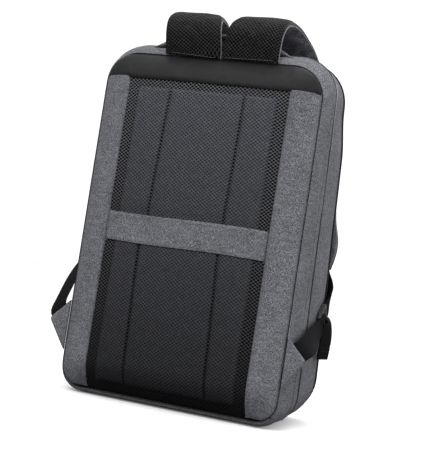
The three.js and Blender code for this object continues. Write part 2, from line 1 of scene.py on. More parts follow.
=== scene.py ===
# A backpack with a solar panel on its front pocket, two shoulder straps and a carry handle.
# It stands upright with its base at z = 0. x runs to its right side and y from the padded
# back towards the front pocket. Sizes are millimetres, with y = 0 at the back seam, and
# make() turns them into metres. Materials, lights and camera are in metres.
import math
from collections import namedtuple
import bmesh
import bpy
import numpy as np
from mathutils import Matrix, Vector, noise


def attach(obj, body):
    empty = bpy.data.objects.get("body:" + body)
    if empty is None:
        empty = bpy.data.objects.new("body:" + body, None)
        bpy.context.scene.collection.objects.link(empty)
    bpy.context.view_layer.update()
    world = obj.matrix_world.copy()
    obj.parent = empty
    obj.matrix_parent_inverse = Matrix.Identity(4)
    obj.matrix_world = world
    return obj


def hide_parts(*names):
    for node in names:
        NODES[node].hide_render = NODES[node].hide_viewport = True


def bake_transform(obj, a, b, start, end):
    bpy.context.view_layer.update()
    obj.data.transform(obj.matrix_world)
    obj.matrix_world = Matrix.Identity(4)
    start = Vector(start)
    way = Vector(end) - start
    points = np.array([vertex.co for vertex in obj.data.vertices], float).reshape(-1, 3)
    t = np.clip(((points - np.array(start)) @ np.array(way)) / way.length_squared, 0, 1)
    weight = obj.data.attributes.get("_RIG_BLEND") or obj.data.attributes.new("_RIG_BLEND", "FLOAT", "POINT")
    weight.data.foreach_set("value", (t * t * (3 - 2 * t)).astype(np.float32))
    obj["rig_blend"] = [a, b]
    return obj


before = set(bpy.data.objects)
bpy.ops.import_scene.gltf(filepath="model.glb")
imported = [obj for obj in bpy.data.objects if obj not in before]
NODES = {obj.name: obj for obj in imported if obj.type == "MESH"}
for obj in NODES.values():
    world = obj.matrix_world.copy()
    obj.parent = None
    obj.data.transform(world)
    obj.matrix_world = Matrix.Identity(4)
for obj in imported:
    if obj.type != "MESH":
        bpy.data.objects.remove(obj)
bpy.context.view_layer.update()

ORIGIN_Y = 70.0    # the scene's origin lies this far in front of the back seam
SIDES = (("left", -1), ("right", 1))
BACKWARD = (0, -1, 0)

# ---------------------------------------------------------------- shape of the bag
BASE_DEPTH = 150.0
LEAN = 9.0         # the front leans back by one in LEAN
# share of the depth, half width at the top and at the base, z of the top and of the base,
# corner radius at the top and at the base
STATIONS = np.array([
    (0, 142, 142, 438, 8, 41, 27),
    (0.015, 142.8, 143, 439.8, 3.4, 41.4, 28),
    (0.035, 143.5, 144, 441.5, 1.5, 42, 29),
    (0.12, 146, 147.5, 448, 0.2, 45, 33),
    (0.2, 147, 148.6, 451.2, 0, 46.4, 35),
    (0.25, 147.5, 149, 453, 0, 47, 36),
    (0.43, 148, 150.5, 457, 0, 48, 40),
    (0.9, 150.5, 154.2, 463, 0, 51.3, 53.2),
    (1, 151, 155, 464, 3, 52, 56)])
BACK_HALF = STATIONS[0, 1]
BACK_TOP, BACK_LOW, BACK_TOP_RADIUS, BACK_LOW_RADIUS = STATIONS[0, 3:]
# steps of the outline along half the base, each corner, a side and half the top
BASE_STEPS, CORNER_STEPS, SIDE_STEPS, TOP_STEPS = 8, 14, 46, 12
MIDDLE = np.array([0, 0, 232.0])    # point the seams face away from


def depth(z):
    return BASE_DEPTH - z / LEAN


def lerp(start, stop, t):
    return start + (stop - start) * t


def smooth_step(t):
    t = np.clip(t, 0, 1)
    return t * t * (3 - 2 * t)


def ease(t):
    return np.sin(np.clip(t, 0, 1) * np.pi / 2)


def roll(distance, width):
    """1 on an edge, falling to 0 at the given width from it."""
    return 1 - ease(distance / width)


def recede(z):
    """How far the back draws forward near the base."""
    return 6.0 * np.clip((50 - z) / 50, 0, 1) ** 2


def outline(share, inset=0.0, dy=0.0):
    """Closed outline of the bag at a share of its depth, from the middle of the base."""
    columns = STATIONS.T
    top_half, low_half, top_z, low_z, top_r, low_r = [
        np.interp(share, columns[0], column) for column in columns[1:]]
    top_half, low_half = top_half - inset, low_half - inset
    top_z, low_z = top_z - inset, low_z + inset
    top_r, low_r = max(2, top_r - inset), max(2, low_r - inset)
    # the front half draws in towards the top
    pull = 4.4 * float(smooth_step((share - 0.3) / 0.6))

    def half_width(z):
        width = lerp(low_half, top_half, min(1, max(0, z / 450)))
        return width - pull * float(smooth_step((z - 345) / 60))

    low_x = half_width(low_z + low_r) - low_r
    top_x = half_width(top_z - top_r) - top_r
    angles = [i / CORNER_STEPS * math.pi / 2 for i in range(CORNER_STEPS)]
    half = [(low_x * i / BASE_STEPS, low_z) for i in range(BASE_STEPS)]
    half += [(low_x + low_r * math.sin(a), low_z + low_r - low_r * math.cos(a))
             for a in angles]
    for i in range(SIDE_STEPS):
        z = lerp(low_z + low_r, top_z - top_r, i / SIDE_STEPS)
        half.append((half_width(z), z))
    half += [(top_x + top_r * math.cos(a), top_z - top_r + top_r * math.sin(a))
             for a in angles]
    half += [(lerp(top_x, 0, i / TOP_STEPS), top_z) for i in range(TOP_STEPS + 1)]
    half = np.array(half)
    full = np.vstack([half, (half[1:-1] * [-1, 1])[::-1]])
    receded = recede(full[:, 1]) * (1 - smooth_step(share / 0.25))
    return np.column_stack([full[:, 0], share * depth(full[:, 1]) + dy + receded, full[:, 1]])


OUTLINE_COUNT = len(outline(0))
LOW_CORNER = BASE_STEPS + CORNER_STEPS // 2      # middle of the lower right corner


def back_fade(z):
    """1 over the back, falling to 0 at its top and base."""
    return ease((BACK_TOP - z) / 36) * ease((z - BACK_LOW) / 40)


def back_y(x, z):
    """y of the padded back, before its quilting."""
    x, z = np.asarray(x, float), np.asarray(z, float)
    fade = back_fade(z)
    crown = 4.3 * (1 - np.minimum(1, (x / 104.5) ** 2)) * fade
    return -15 * ease((BACK_HALF - np.abs(x)) / 38) * fade - crown + recede(z)


def corner_reach(distance, radius):
    return np.sqrt(np.clip(radius ** 2 - distance ** 2, 0, None))


def edge_x(z):
    """Half width of the back at height z."""
    z = np.asarray(z, float)
    low_z, top_z = BACK_LOW + BACK_LOW_RADIUS, BACK_TOP - BACK_TOP_RADIUS
    low = BACK_HALF - BACK_LOW_RADIUS + corner_reach(low_z - z, BACK_LOW_RADIUS)
    top = BACK_HALF - BACK_TOP_RADIUS + corner_reach(z - top_z, BACK_TOP_RADIUS)
    return np.where(z < low_z, low, np.where(z > top_z, top, BACK_HALF))


def edge_z(x):
    """Height of the back's top edge at x."""
    x = np.abs(np.asarray(x, float))
    corner_x = BACK_HALF - BACK_TOP_RADIUS
    corner = BACK_TOP - BACK_TOP_RADIUS + corner_reach(x - corner_x, BACK_TOP_RADIUS)
    return np.where(x > corner_x, corner, BACK_TOP)


def cloth_noise(points, scale, seed, stretch=(1, 1, 1), octaves=3):
    """Smooth, repeatable noise, one value per point of a grid."""
    flat = (np.asarray(points, float) * stretch).reshape(-1, 3)
    values = [noise.fractal(Vector((x / scale + seed, y / scale + 2.3 * seed,
                                    z / scale - seed)), 0.9, 2.1, octaves)
              for x, y, z in flat]
    return np.array(values).reshape(points.shape[:-1])


def wobble(x, y, z):
    return noise.noise(Vector((x, y, z)))


# ---------------------------------------------------------------- mesh helpers
# A shape is a pair: points and faces.
BOX_FACES = [(0, 1, 2, 3), (7, 6, 5, 4), (0, 4, 5, 1), (1, 5, 6, 2), (2, 6, 7, 3), (3, 7, 4, 0)]
THREAD_LIFT, THREAD_HEIGHT = 0.25, 0.34
# place along a stitch, share of its thickness, height share
STITCH_RINGS = ((-0.5, 0.55, -0.15), (-0.28, 1, 0.85), (0, 1.05, 1), (0.28, 1, 0.85),
                (0.5, 0.55, -0.15))


def make(name, shape, body, material, slot, replaces=(), sharp=60, smooth=True,
         attributes=None):
    points = np.array(shape[0], float).reshape(-1, 3)
    points[:, 1] -= ORIGIN_Y
    mesh = bpy.data.meshes.new(name)
    mesh.from_pydata((points / 1000.0).tolist(), [], shape[1])
    mesh.validate()
    editable = bmesh.new()
    editable.from_mesh(mesh)
    bmesh.ops.recalc_face_normals(editable, faces=editable.faces)
    editable.to_mesh(mesh)
    editable.free()
    mesh.polygons.foreach_set("use_smooth", [smooth] * len(mesh.polygons))
    if smooth and sharp:
        mesh.set_sharp_from_angle(angle=math.radians(sharp))
    for key, values in (attributes or {}).items():
        attribute = mesh.attributes.new(key, "FLOAT", "POINT")
        attribute.data.foreach_set("value", np.asarray(values, np.float32))
    obj = bpy.data.objects.new(name, mesh)
    bpy.context.scene.collection.objects.link(obj)
    mesh.materials.append(material)
    if body:
        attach(obj, body)
    if replaces:
        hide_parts(*replaces)
    return obj


def billow(obj, held, cap, pressure=4.0, slack=0.02):
    """Blow up a sewn piece made by sheet() like cloth.

    Cells marked in held and the whole second layer stay in place. Travel is eased off
    towards cap millimetres.
    """
    scene = bpy.context.scene
    mesh = obj.data.copy()
    trial = bpy.data.objects.new("billow", mesh)
    scene.collection.objects.link(trial)
    count = len(mesh.vertices)
    pinned = np.ones(count, bool)
    pinned[:held.size] = held.ravel()
    group = trial.vertex_groups.new(name="sewn")
    group.add([int(i) for i in np.nonzero(pinned)[0]], 1.0, "REPLACE")
    cloth = trial.modifiers.new("cloth", "CLOTH")
    settings = cloth.settings
    settings.quality = 5
    settings.mass = 0.3
    settings.use_pressure = True
    settings.uniform_pressure_force = pressure
    settings.vertex_group_mass = "sewn"
    settings.effector_weights.gravity = 0.0
    settings.tension_stiffness = settings.compression_stiffness = 15
    settings.shear_stiffness = 5
    settings.bending_stiffness = 0.5
    settings.shrink_min = -slack
    cloth.collision_settings.use_collision = False
    cloth.point_cache.frame_start = 1
    cloth.point_cache.frame_end = 20
    for frame_number in range(1, 21):
        scene.frame_set(frame_number)
    blown = trial.evaluated_get(bpy.context.evaluated_depsgraph_get()).to_mesh()
    before, after = np.empty(count * 3), np.empty(count * 3)
    mesh.vertices.foreach_get("co", before)
    blown.vertices.foreach_get("co", after)
    before, travel = before.reshape(-1, 3), (after - before).reshape(-1, 3)
    distance = np.linalg.norm(travel, axis=1) * 1000
    if np.isfinite(distance).all():    # a simulation that blew up leaves the piece as it is
        share = np.where(distance > 1e-6,
                         cap * np.tanh(distance / cap) / np.maximum(distance, 1e-6), 0.0)
        obj.data.vertices.foreach_set("co", (before + travel * share[:, None]).ravel())
        obj.data.update()
    scene.frame_set(1)
    bpy.data.objects.remove(trial)
    bpy.data.meshes.remove(mesh)


def rim(shape, ends, sides):
    """Grid cells that are sewn: some rows at each end, some columns at each side."""
    held = np.zeros(shape[:2], bool)
    held[:ends] = held[-ends:] = True
    held[:, :sides] = held[:, -sides:] = True
    return held


def spans(*segments):
    """Numbers along segments given as (start, stop, count)."""
    return np.concatenate([np.linspace(*segment) for segment in segments])


def grid(x, y, z):
    return np.stack(np.broadcast_arrays(x, y, z), -1).astype(float)


def unit(vectors):
    return vectors / np.linalg.norm(vectors, axis=-1, keepdims=True)


def ring_faces(count, sides, closed=False, ends=0):
    """Quads between rings of points; ends = 1 or -1 caps the ends, in either winding."""
    faces = []
    for i in range(count if closed else count - 1):
        a, b = i * sides, (i + 1) % count * sides
        for k in range(sides):
            j = (k + 1) % sides
            faces.append((a + k, a + j, b + j, b + k))
    if ends:
        last = (count - 1) * sides
        faces.append(tuple(range(sides)[::ends]))
        faces.append(tuple(range(last, last + sides)[::-ends]))
    return faces


def sheet(first, second):
    """Closed sheet between two grids of points."""
    first, second = np.asarray(first, float), np.asarray(second, float)
    rows, columns = first.shape[:2]

    def at(layer, i, j):
        return (layer * rows + i) * columns + j

    faces = []
    for i in range(rows - 1):
        for j in range(columns - 1):
            faces.append((at(0, i, j), at(0, i + 1, j), at(0, i + 1, j + 1), at(0, i, j + 1)))
            faces.append((at(1, i, j), at(1, i, j + 1), at(1, i + 1, j + 1), at(1, i + 1, j)))
    end, side = rows - 1, columns - 1
    for j in range(columns - 1):
        faces.append((at(0, 0, j), at(0, 0, j + 1), at(1, 0, j + 1), at(1, 0, j)))
        faces.append((at(0, end, j), at(1, end, j), at(1, end, j + 1), at(0, end, j + 1)))
    for i in range(rows - 1):
        faces.append((at(0, i, 0), at(1, i, 0), at(1, i + 1, 0), at(0, i + 1, 0)))
        faces.append((at(0, i, side), at(0, i + 1, side), at(1, i + 1, side), at(1, i, side)))
    return np.vstack([first.reshape(-1, 3), second.reshape(-1, 3)]), faces


def backed(front, thickness, limit=-np.inf):
    """Sheet whose second layer lies in front of a grid, at y no less than limit."""
    second = front.copy()
    second[..., 1] = np.maximum(front[..., 1] + thickness, limit)
    return sheet(front, second)


def join(shapes):
    points, faces, offset = [], [], 0
    for part, part_faces in shapes:
        points.append(np.asarray(part, float).reshape(-1, 3))
        faces += [tuple(i + offset for i in face) for face in part_faces]
        offset += len(points[-1])
    return np.vstack(points), faces


def tube(path, radius, sides=8, closed=False, up=(0, 1, 0)):
    path = np.asarray(path, float)
    if closed:
        tangents = np.roll(path, -1, 0) - np.roll(path, 1, 0)
    else:
        tangents = np.gradient(path, axis=0)
    points = []
    for place, tangent, up_here in zip(path, unit(tangents), np.broadcast_to(up, path.shape)):
        normal = unit(up_here - tangent * (up_here @ tangent))
        side = np.cross(tangent, normal)
        for k in range(sides):
            angle = 2 * math.pi * k / sides
            points.append(place + radius * (math.cos(angle) * normal + math.sin(angle) * side))
    return np.array(points), ring_faces(len(path), sides, closed, 0 if closed else -1)


def arc_length(points):
    return np.concatenate([[0], np.cumsum(np.linalg.norm(np.diff(points, axis=0), axis=1))])


def sample(distance, values, places):
    return np.column_stack([np.interp(places, distance, values[:, k]) for k in range(3)])


def resample(points, step, closed=False):
    """Even points along a line, about one step apart."""
    points = np.asarray(points, float)
    if closed:
        points = np.vstack([points, points[:1]])
    distance = arc_length(points)
    count = max(2, int(round(distance[-1] / step)))
    even = sample(distance, points, np.linspace(0, distance[-1], count + 1))
    return even[:-1] if closed else even


def stitches(line, normals, step, pitch, length, width):
    """Row of thread stitches; normals is a vector, one per point or a function of them."""
    points = resample(line, step)
    if callable(normals):
        normals = normals(points)
    normals = np.broadcast_to(np.asarray(normals, float), points.shape)
    distance = arc_length(points)
    middles = np.arange(pitch / 2, distance[-1] - pitch / 4, pitch)
    place = sample(distance, points, middles)
    up = unit(sample(distance, normals, middles))
    tangent = unit(sample(distance, points, middles + length / 2)
                   - sample(distance, points, middles - length / 2))
    side = np.cross(up, tangent)
    half_height = THREAD_HEIGHT / 2
    rings = []
    for along, share, height in STITCH_RINGS:
        lift = THREAD_LIFT - half_height + height * half_height
        centre = place + tangent * along * length + up * lift
        across, rise = side * (width / 2 * share), up * (half_height * share)
        rings.append([centre + across, centre + rise, centre - across, centre - rise])
    solids = np.array(rings).transpose(2, 0, 1, 3).reshape(len(middles), -1, 3)
    faces = ring_faces(len(STITCH_RINGS), 4, ends=-1)
    return join([(solid, faces) for solid in solids])


def sew(name, rows, body, material, slot="grey_fabric"):
    make(name, join(rows), body, material, slot, sharp=None)


# ---------------------------------------------------------------- material helpers
SURFACE_INPUTS = {
    "color": "Base Color", "roughness": "Roughness", "specular": "Specular IOR Level",
    "metallic": "Metallic", "normal": "Normal", "sheen": "Sheen Weight",
    "sheen_roughness": "Sheen Roughness", "coat": "Coat Weight",
    "coat_roughness": "Coat Roughness", "emission": "Emission Color",
    "emission_strength": "Emission Strength"}


class Field:
    """Output of a shader node. Arithmetic on it adds Math nodes."""

    def __init__(self, graph, socket):
        self.graph = graph
        self.socket = socket

    def __add__(self, other):
        return self.graph.math("ADD", self, other)

    def __sub__(self, other):
        return self.graph.math("SUBTRACT", self, other)

    def __rsub__(self, other):
        return self.graph.math("SUBTRACT", other, self)

    def __mul__(self, other):
        return self.graph.math("MULTIPLY", self, other)

    def __truediv__(self, other):
        return self.graph.math("DIVIDE", self, other)


class Graph:
    """Node tree with short ways to add nodes. Textures use object coordinates."""

    def __init__(self, tree):
        self.tree = tree

    def feed(self, socket, value):
        """Link a field to an input, or set the input's value."""
        if isinstance(value, Field):
            self.tree.links.new(value.socket, socket)
        else:
            socket.default_value = value

    def node(self, kind, inputs, output=0, **settings):
        node = self.tree.nodes.new("ShaderNode" + kind)
        for key, value in settings.items():
            setattr(node, key, value)
        for key, value in inputs.items():
            self.feed(node.inputs[key], value)
        return Field(self, node.outputs[output])

    def math(self, operation, *operands):
        return self.node("Math", dict(enumerate(operands)), operation=operation)

    def place(self):
        return self.node("TexCoord", {}, "Object")

    def attribute(self, name):
        return self.node("Attribute", {}, "Fac", attribute_name=name)

    def camera_ray(self):
        return self.node("LightPath", {}, "Is Camera Ray")

    def split(self, vector):
        first = self.node("SeparateXYZ", {0: vector})
        return [Field(self, socket) for socket in first.socket.node.outputs]

    def noise(self, vector, scale, detail=2, roughness=0.5):
        return self.node("TexNoise", {"Vector": vector, "Scale": scale, "Detail": detail,
                                      "Roughness": roughness})

    def wave(self, value, pitch):
        return self.math("SINE", value * (2 * math.pi / pitch))

    def map_range(self, value, low, high, reach=1.0):
        """Turn 0 to reach into low to high."""
        return self.node("MapRange", {"Value": value, "From Max": reach, "To Min": low,
                                      "To Max": high})

    def mix(self, factor, first, second, blend="MIX"):
        return self.node("Mix", {0: factor, 6: first, 7: second}, 2, data_type="RGBA",
                         blend_type=blend)

    def bump(self, height, strength, distance):
        return self.node("Bump", {"Strength": strength, "Distance": distance,
                                  "Height": height})

    def ramp(self, factor, stops, color=(1, 1, 1)):
        """Color ramp; a stop is its position and a number or triple that scales color."""
        field = self.node("ValToRGB", {0: factor})
        elements = field.socket.node.color_ramp.elements
        while len(elements) > 1:
            elements.remove(elements[-1])
        for index, (position, tint) in enumerate(stops):
            element = elements.new(position) if index else elements[0]
            element.position = position
            element.color = (*np.multiply(color, tint), 1)
        return field

    def facing_plane(self):
        """The two object coordinates that lie in the surface, by the way it faces."""
        place = self.place()
        facing = Field(self, place.socket.node.outputs["Normal"])
        x, y, z = self.split(place)
        size_x, size_y, size_z = [self.math("ABSOLUTE", part) for part in self.split(facing)]
        faces_x = self.math("GREATER_THAN", size_x, self.math("MAXIMUM", size_y, size_z))
        faces_z = self.math("GREATER_THAN", size_z, self.math("MAXIMUM", size_x, size_y))
        return (self.math("MULTIPLY_ADD", faces_x, y - x, x),
                self.math("MULTIPLY_ADD", faces_z, y - z, z))


class Surface(Graph):
    """Material with one Principled BSDF."""

    def __init__(self, name):
        self.material = bpy.data.materials.new(name)
        self.material.use_nodes = True
        super().__init__(self.material.node_tree)
        self.tree.nodes.clear()
        output = self.tree.nodes.new("ShaderNodeOutputMaterial")
        self.principled = self.tree.nodes.new("ShaderNodeBsdfPrincipled")
        self.tree.links.new(self.principled.outputs[0], output.inputs[0])

    def shade(self, **inputs):
        for key, value in inputs.items():
            self.feed(self.principled.inputs[SURFACE_INPUTS[key]], value)
        return self.material


# ---------------------------------------------------------------- materials
def melange(name, mean, contrast=1.0):
    """Heathered two-tone weave: slub threads both ways and soft large mottling."""
    surface = Surface(name)
    place = surface.place()
    across, up = surface.facing_plane()
    plane = surface.node("CombineXYZ", {0: across, 1: up})

    def streaks(across_scale, up_scale, detail=1.5):
        stretched = surface.node("Mapping", {"Vector": plane,
                                             "Scale": (across_scale, up_scale, 1)})
        return surface.noise(stretched, scale=1.0, detail=detail, roughness=0.6)

    fibres = surface.noise(place, scale=1350, detail=1)
    weft = streaks(across_scale=420, up_scale=1400)
    warp = streaks(across_scale=1400, up_scale=380)
    slubs = streaks(across_scale=70, up_scale=210, detail=2)
    mottling = surface.noise(place, scale=26, detail=3)
    tone = fibres * 0.46 + (weft * 0.26 + warp * 0.28)
    tone = tone + (slubs - 0.5) * 0.10
    tone = tone + (mottling - 0.5) * 0.06
    spread = 0.085 * contrast
    color = surface.ramp(tone, [(0.5 - spread, (0.28, 0.28, 0.308)),
                                (0.48, (0.87, 0.88, 0.975)),
                                (0.53, (1.04, 1.06, 1.16)),
                                (0.5 + spread, (2.156, 2.2, 2.42))], color=(mean,) * 3)
    thread_pitch = 0.00085
    weave = surface.wave(across, thread_pitch) * surface.wave(up, thread_pitch)
    normal = surface.bump(weave * 0.35 + tone, strength=0.55, distance=0.0004)
    return surface.shade(color=color, roughness=0.9, specular=0.08, sheen=0.03,
                         sheen_roughness=0.5, normal=normal)


def diamond_net(surface, place, across, along, period):
    """Yarn of an open knit: 0 in its staggered holes, 1 between them."""
    drift = (surface.noise(place, scale=55) - 0.5) * 0.9

    def diagonal(value):
        return surface.math("COSINE", value * (2 * math.pi) + drift)

    across_period, along_period = period
    rising = diagonal(across / across_period + along / along_period)
    falling = diagonal(across / across_period - along / along_period)
    return 1.0 - (rising + 1.0) * (falling + 1.0) / 4.0


def knit_tone(surface, place, yarn, filament_share, patch_share):
    """Filaments, and the yarn's tone with filaments and patches mixed in."""
    filaments = surface.noise(place, scale=1500)
    patches = surface.noise(place, scale=210)
    tone = yarn * 0.62 + (filaments - 0.5) * filament_share
    return filaments, tone + (patches - 0.5) * patch_share


def knit_bump(surface, yarn, filaments):
    return surface.bump(yarn * 1.0 + filaments * 0.25, strength=0.9, distance=0.0011)


def back_air_mesh(name):
    """Open knit, darker over the quilted pads, with painted shade that darkens it towards the base."""
    surface = Surface(name)
    place = surface.place()
    x, _, z = surface.split(place)
    yarn = diamond_net(surface, place, x, z, period=(0.0054, 0.0043))
    filaments, tone = knit_tone(surface, place, yarn, filament_share=0.6, patch_share=0.3)
    over_pads = surface.ramp(tone, [(0.18, 0.025), (0.42, (0.04576, 0.0468, 0.05356)),
                                    (0.62, (0.06344, 0.06552, 0.07592)),
                                    (0.86, (0.15, 0.15, 0.168))])
    over_channels = surface.ramp(yarn + (filaments - 0.5) * 0.30,
                                 [(0.66, 0.0004), (0.84, (0.0014, 0.0014, 0.0016)),
                                  (0.92, (0.026, 0.027, 0.030)),
                                  (1.04, (0.118, 0.120, 0.129))])

    # painted shade: the colour is multiplied by a ramp over z that darkens it towards the base
    def painted_shade_below(color, low, high, reach):
        height = surface.map_range(z, low=low, high=high, reach=reach)
        grey = surface.ramp(height, [(0.0, 0), (1.0, 1)])
        return surface.mix(1.0, color, grey, blend="MULTIPLY")

    over_pads = painted_shade_below(over_pads, low=0.20, high=1.08, reach=0.42)
    over_channels = painted_shade_below(over_channels, low=0.06, high=1.0, reach=0.40)
    color = surface.mix(surface.attribute("pad"), over_channels, over_pads)
    return surface.shade(color=color, roughness=0.62, specular=0.10,
                         normal=knit_bump(surface, yarn, filaments))


def strap_air_mesh(name):
    """Nearly black open knit that follows the strap's own coordinates, with painted highlights on its yarn.
    """
    surface = Surface(name)
    place = surface.place()
    yarn = diamond_net(surface, place, surface.attribute("su"), surface.attribute("sv"),
                       period=(0.0050, 0.0043))
    filaments, tone = knit_tone(surface, place, yarn, filament_share=0.35, patch_share=0.12)
    # painted highlights: the brightest stop paints glints onto the yarn
    color = surface.ramp(tone, [(0.24, 0.0002), (0.40, 0.0007),
                                (0.52, (0.0012, 0.0012, 0.00125)),
                                (0.66, (0.032, 0.032, 0.0336))])
    return surface.shade(color=color, roughness=0.5, specular=0.05,
                         normal=knit_bump(surface, yarn, filaments))


def plain_weave(name, color, roughness=0.7, specular=0.12, variation=0.25):
    surface = Surface(name)
    place = surface.place()
    across, up = surface.facing_plane()
    thread_pitch = 0.0008
    weave = surface.wave(across, thread_pitch) * surface.wave(up, thread_pitch)
    fibres = surface.noise(place, scale=900)
    patches = surface.noise(place, scale=22, detail=3)
    shade = surface.ramp(fibres * 0.6 + patches * 0.4,
                         [(0.3, 1 - variation), (0.5, 1), (0.72, 1 + 1.6 * variation)], color)
    normal = surface.bump(weave * 0.5 + fibres, strength=0.4, distance=0.0003)
    return surface.shade(color=shade, roughness=roughness, specular=specular, normal=normal)


def ribbed_webbing(name, color):
    """Webbing whose ribs run across, set by the strap's own coordinates."""
    surface = Surface(name)
    ribs = surface.wave(surface.attribute("sv"), pitch=0.0016)
    threads = surface.wave(surface.attribute("su"), pitch=0.0012)
    fibres = surface.noise(surface.place(), scale=1200)
    height = ribs * 0.5 + threads * 0.3
    shade = surface.ramp(height * 0.25 + fibres, [(0.25, 0.5), (0.5, 1), (0.85, 2.0)], color)
    return surface.shade(color=shade, roughness=0.8, specular=0.03,
                         normal=surface.bump(height, strength=0.6, distance=0.0004))


def plastic(name, color, roughness=0.4):
    surface = Surface(name)
    place = surface.place()
    grain = surface.noise(place, scale=2200)
    patches = surface.noise(place, scale=60, detail=3)
    return surface.shade(
        color=surface.ramp(patches, [(0.3, 0.8), (0.7, 1.25)], color),
        roughness=surface.map_range(patches, low=roughness - 0.08, high=roughness + 0.12),
        specular=0.5, normal=surface.bump(grain, strength=0.25, distance=0.0001))


def metal(name, color, roughness=0.32):
    surface = Surface(name)
    grain = surface.noise(surface.place(), scale=300, detail=3)
    return surface.shade(color=surface.ramp(grain, [(0.3, 0.7), (0.7, 1.2)], color),
                         metallic=0.9, roughness=roughness,
                         normal=surface.bump(grain, strength=0.1, distance=0.0001))


def thread(name, color):
    surface = Surface(name)
    fibres = surface.noise(surface.place(), scale=2500)
    return surface.shade(color=surface.ramp(fibres, [(0.3, 0.7), (0.7, 1.3)], color),
                         roughness=0.6, specular=0.15,
                         normal=surface.bump(fibres, strength=0.4, distance=0.0002))


def solar_cell(name):
    surface = Surface(name)
    place = surface.place()
    crystals = surface.node("TexVoronoi", {"Scale": 140, "Vector": place})
    patches = surface.noise(place, scale=35)
    color = surface.ramp(crystals * 0.5 + patches * 0.5,
                         [(0.2, (0.003, 0.006, 0.022)), (0.5, (0.006, 0.013, 0.045)),
                          (0.8, (0.012, 0.026, 0.085))])
    grain = surface.noise(place, scale=700)
    return surface.shade(color=color, roughness=0.16, coat=0.6, coat_roughness=0.08,
                         normal=surface.bump(grain, strength=0.12, distance=0.0002))


GREY = melange("grey_melange", mean=0.122)
# painted light: the same melange as GREY, made lighter to lift the shade on the straps' undersides
PAINTED_LIGHT_GREY_LINING = melange("grey_melange_lining_painted_light", mean=0.150, contrast=0.8)
BACK_MESH = back_air_mesh("back_air_mesh")
STRAP_MESH = strap_air_mesh("strap_air_mesh")
BAND = plain_weave("band_black", color=(0.0092, 0.0094, 0.0102), roughness=0.5,
                   specular=0.16, variation=0.35)
LINING = plain_weave("lining_grey", color=(0.075, 0.075, 0.082), roughness=0.8)
PIPING = plain_weave("piping_black", color=(0.014, 0.014, 0.015))
PALE_PIPING = plain_weave("piping_grey", color=(0.20, 0.20, 0.21), roughness=0.8)
WEBBING = ribbed_webbing("webbing_black", color=(0.0062, 0.0062, 0.0072))
PLASTIC = plastic("plastic_black", color=(0.012, 0.012, 0.013))
RUBBER = plastic("rubber_black", color=(0.014, 0.014, 0.015), roughness=0.62)
METAL = metal("gunmetal", color=(0.16, 0.16, 0.17))
FOAM = plain_weave("foam_dark", color=(0.04, 0.04, 0.042), roughness=0.95)
BOARD = plastic("board_black", color=(0.02, 0.02, 0.022), roughness=0.6)
THREAD = thread("thread_grey", color=(0.14, 0.14, 0.15))
DARK_THREAD = thread("thread_dark", color=(0.02, 0.02, 0.021))
PALE_THREAD = thread("thread_light", color=(0.26, 0.26, 0.27))
CELL = solar_cell("solar_cells")
BUS_BAR = metal("bus_bars", color=(0.55, 0.55, 0.56), roughness=0.35)
ZIP_COIL = plastic("zip_coil", color=(0.01, 0.01, 0.011), roughness=0.35)


def paint(name, material):
    obj = NODES[name]
    obj.data.materials.clear()
    obj.data.materials.append(material)
    return obj


for material, names in (
        (BOARD, ("back_frame_board", "base_stiffener")),
        (LINING, ("laptop_sleeve", "pocket_lining")),
        (PLASTIC, ("junction_box", "charge_controller")),
        (RUBBER, ("solar_cable", "usb_cable", "main_zip_rear_tape", "main_zip_front_tape"))):
    for name in names:
        paint(name, material)

# ---------------------------------------------------------------- padded back
FIELD_HALF, FIELD_LOW, FIELD_RADIUS = 103.9, 9.6, 3.0    # the mesh field and its low corners
PAD_HALF, PAD_GAP, PAD_RADIUS = 90.5, 0.9, 3.0
STRAP_Z = 215.0                                          # middle of the luggage strap
# row, z of its base and top, z where its two seams are measured, their x and lean
PAD_ROWS = (("upper", 228, 393, 300, (-49.0, 0.035), (48.5, 0.02)),
            ("lower", 22, 203, 110, (-54.0, -0.03), (50.5, -0.045)))


def seam_line(x, lean, seam_z, gap):
    return lambda z: x + (z - seam_z) * lean + gap


PADS = []    # name, left and right edge as functions of z, z of the base and top
for row, low, top, seam_z, first, second in PAD_ROWS:
    for column, left, right in (
            ("left", (-PAD_HALF, 0, seam_z, 0), (*first, seam_z, -PAD_GAP)),
            ("centre", (*first, seam_z, PAD_GAP), (*second, seam_z, -PAD_GAP)),
            ("right", (*second, seam_z, PAD_GAP), (PAD_HALF, 0, seam_z, 0))):
        PADS.append((row + "_" + column, seam_line(*left), seam_line(*right), low, top))


def pad_fields(x, z):
    """Height share of the quilted pads, and a mask of them from 0 to 1."""
    x, z = np.asarray(x, float), np.asarray(z, float)
    height, mask = np.zeros_like(x), np.zeros_like(x)
    for _, left, right, low, top in PADS:
        middle_x, half_x = (left(z) + right(z)) / 2, (right(z) - left(z)) / 2
        middle_z, half_z = (low + top) / 2, (top - low) / 2
        off_x, off_z = np.abs(x - middle_x), np.abs(z - middle_z)
        past_x, past_z = off_x - (half_x - PAD_RADIUS), off_z - (half_z - PAD_RADIUS)
        inside = -(np.hypot(np.maximum(past_x, 0), np.maximum(past_z, 0))
                   + np.minimum(np.maximum(past_x, past_z), 0) - PAD_RADIUS)
        slope = np.clip(inside / 5.0, 0, 1)
        edge = np.sqrt(slope * (2 - slope))
        dome = (1 - 0.22 * (np.clip(off_x / half_x, 0, 1) ** 2)
                - 0.10 * (np.clip(off_z / half_z, 0, 1) ** 4))
        height = np.maximum(height, edge * dome)
        mask = np.maximum(mask, smooth_step((inside + 0.5) / 1.6))
    return height, mask


def quilted_y(x, z):
    """y of the quilted back, dented where the luggage strap is sewn down."""
    height, _ = pad_fields(x, z)
    fade = back_fade(z)
    y = back_y(x, z) + 2.4 * fade - 4.4 * height * (0.35 + 0.65 * fade)
    return y + 1.2 * np.exp(-((z - STRAP_Z) / 24.0) ** 4)


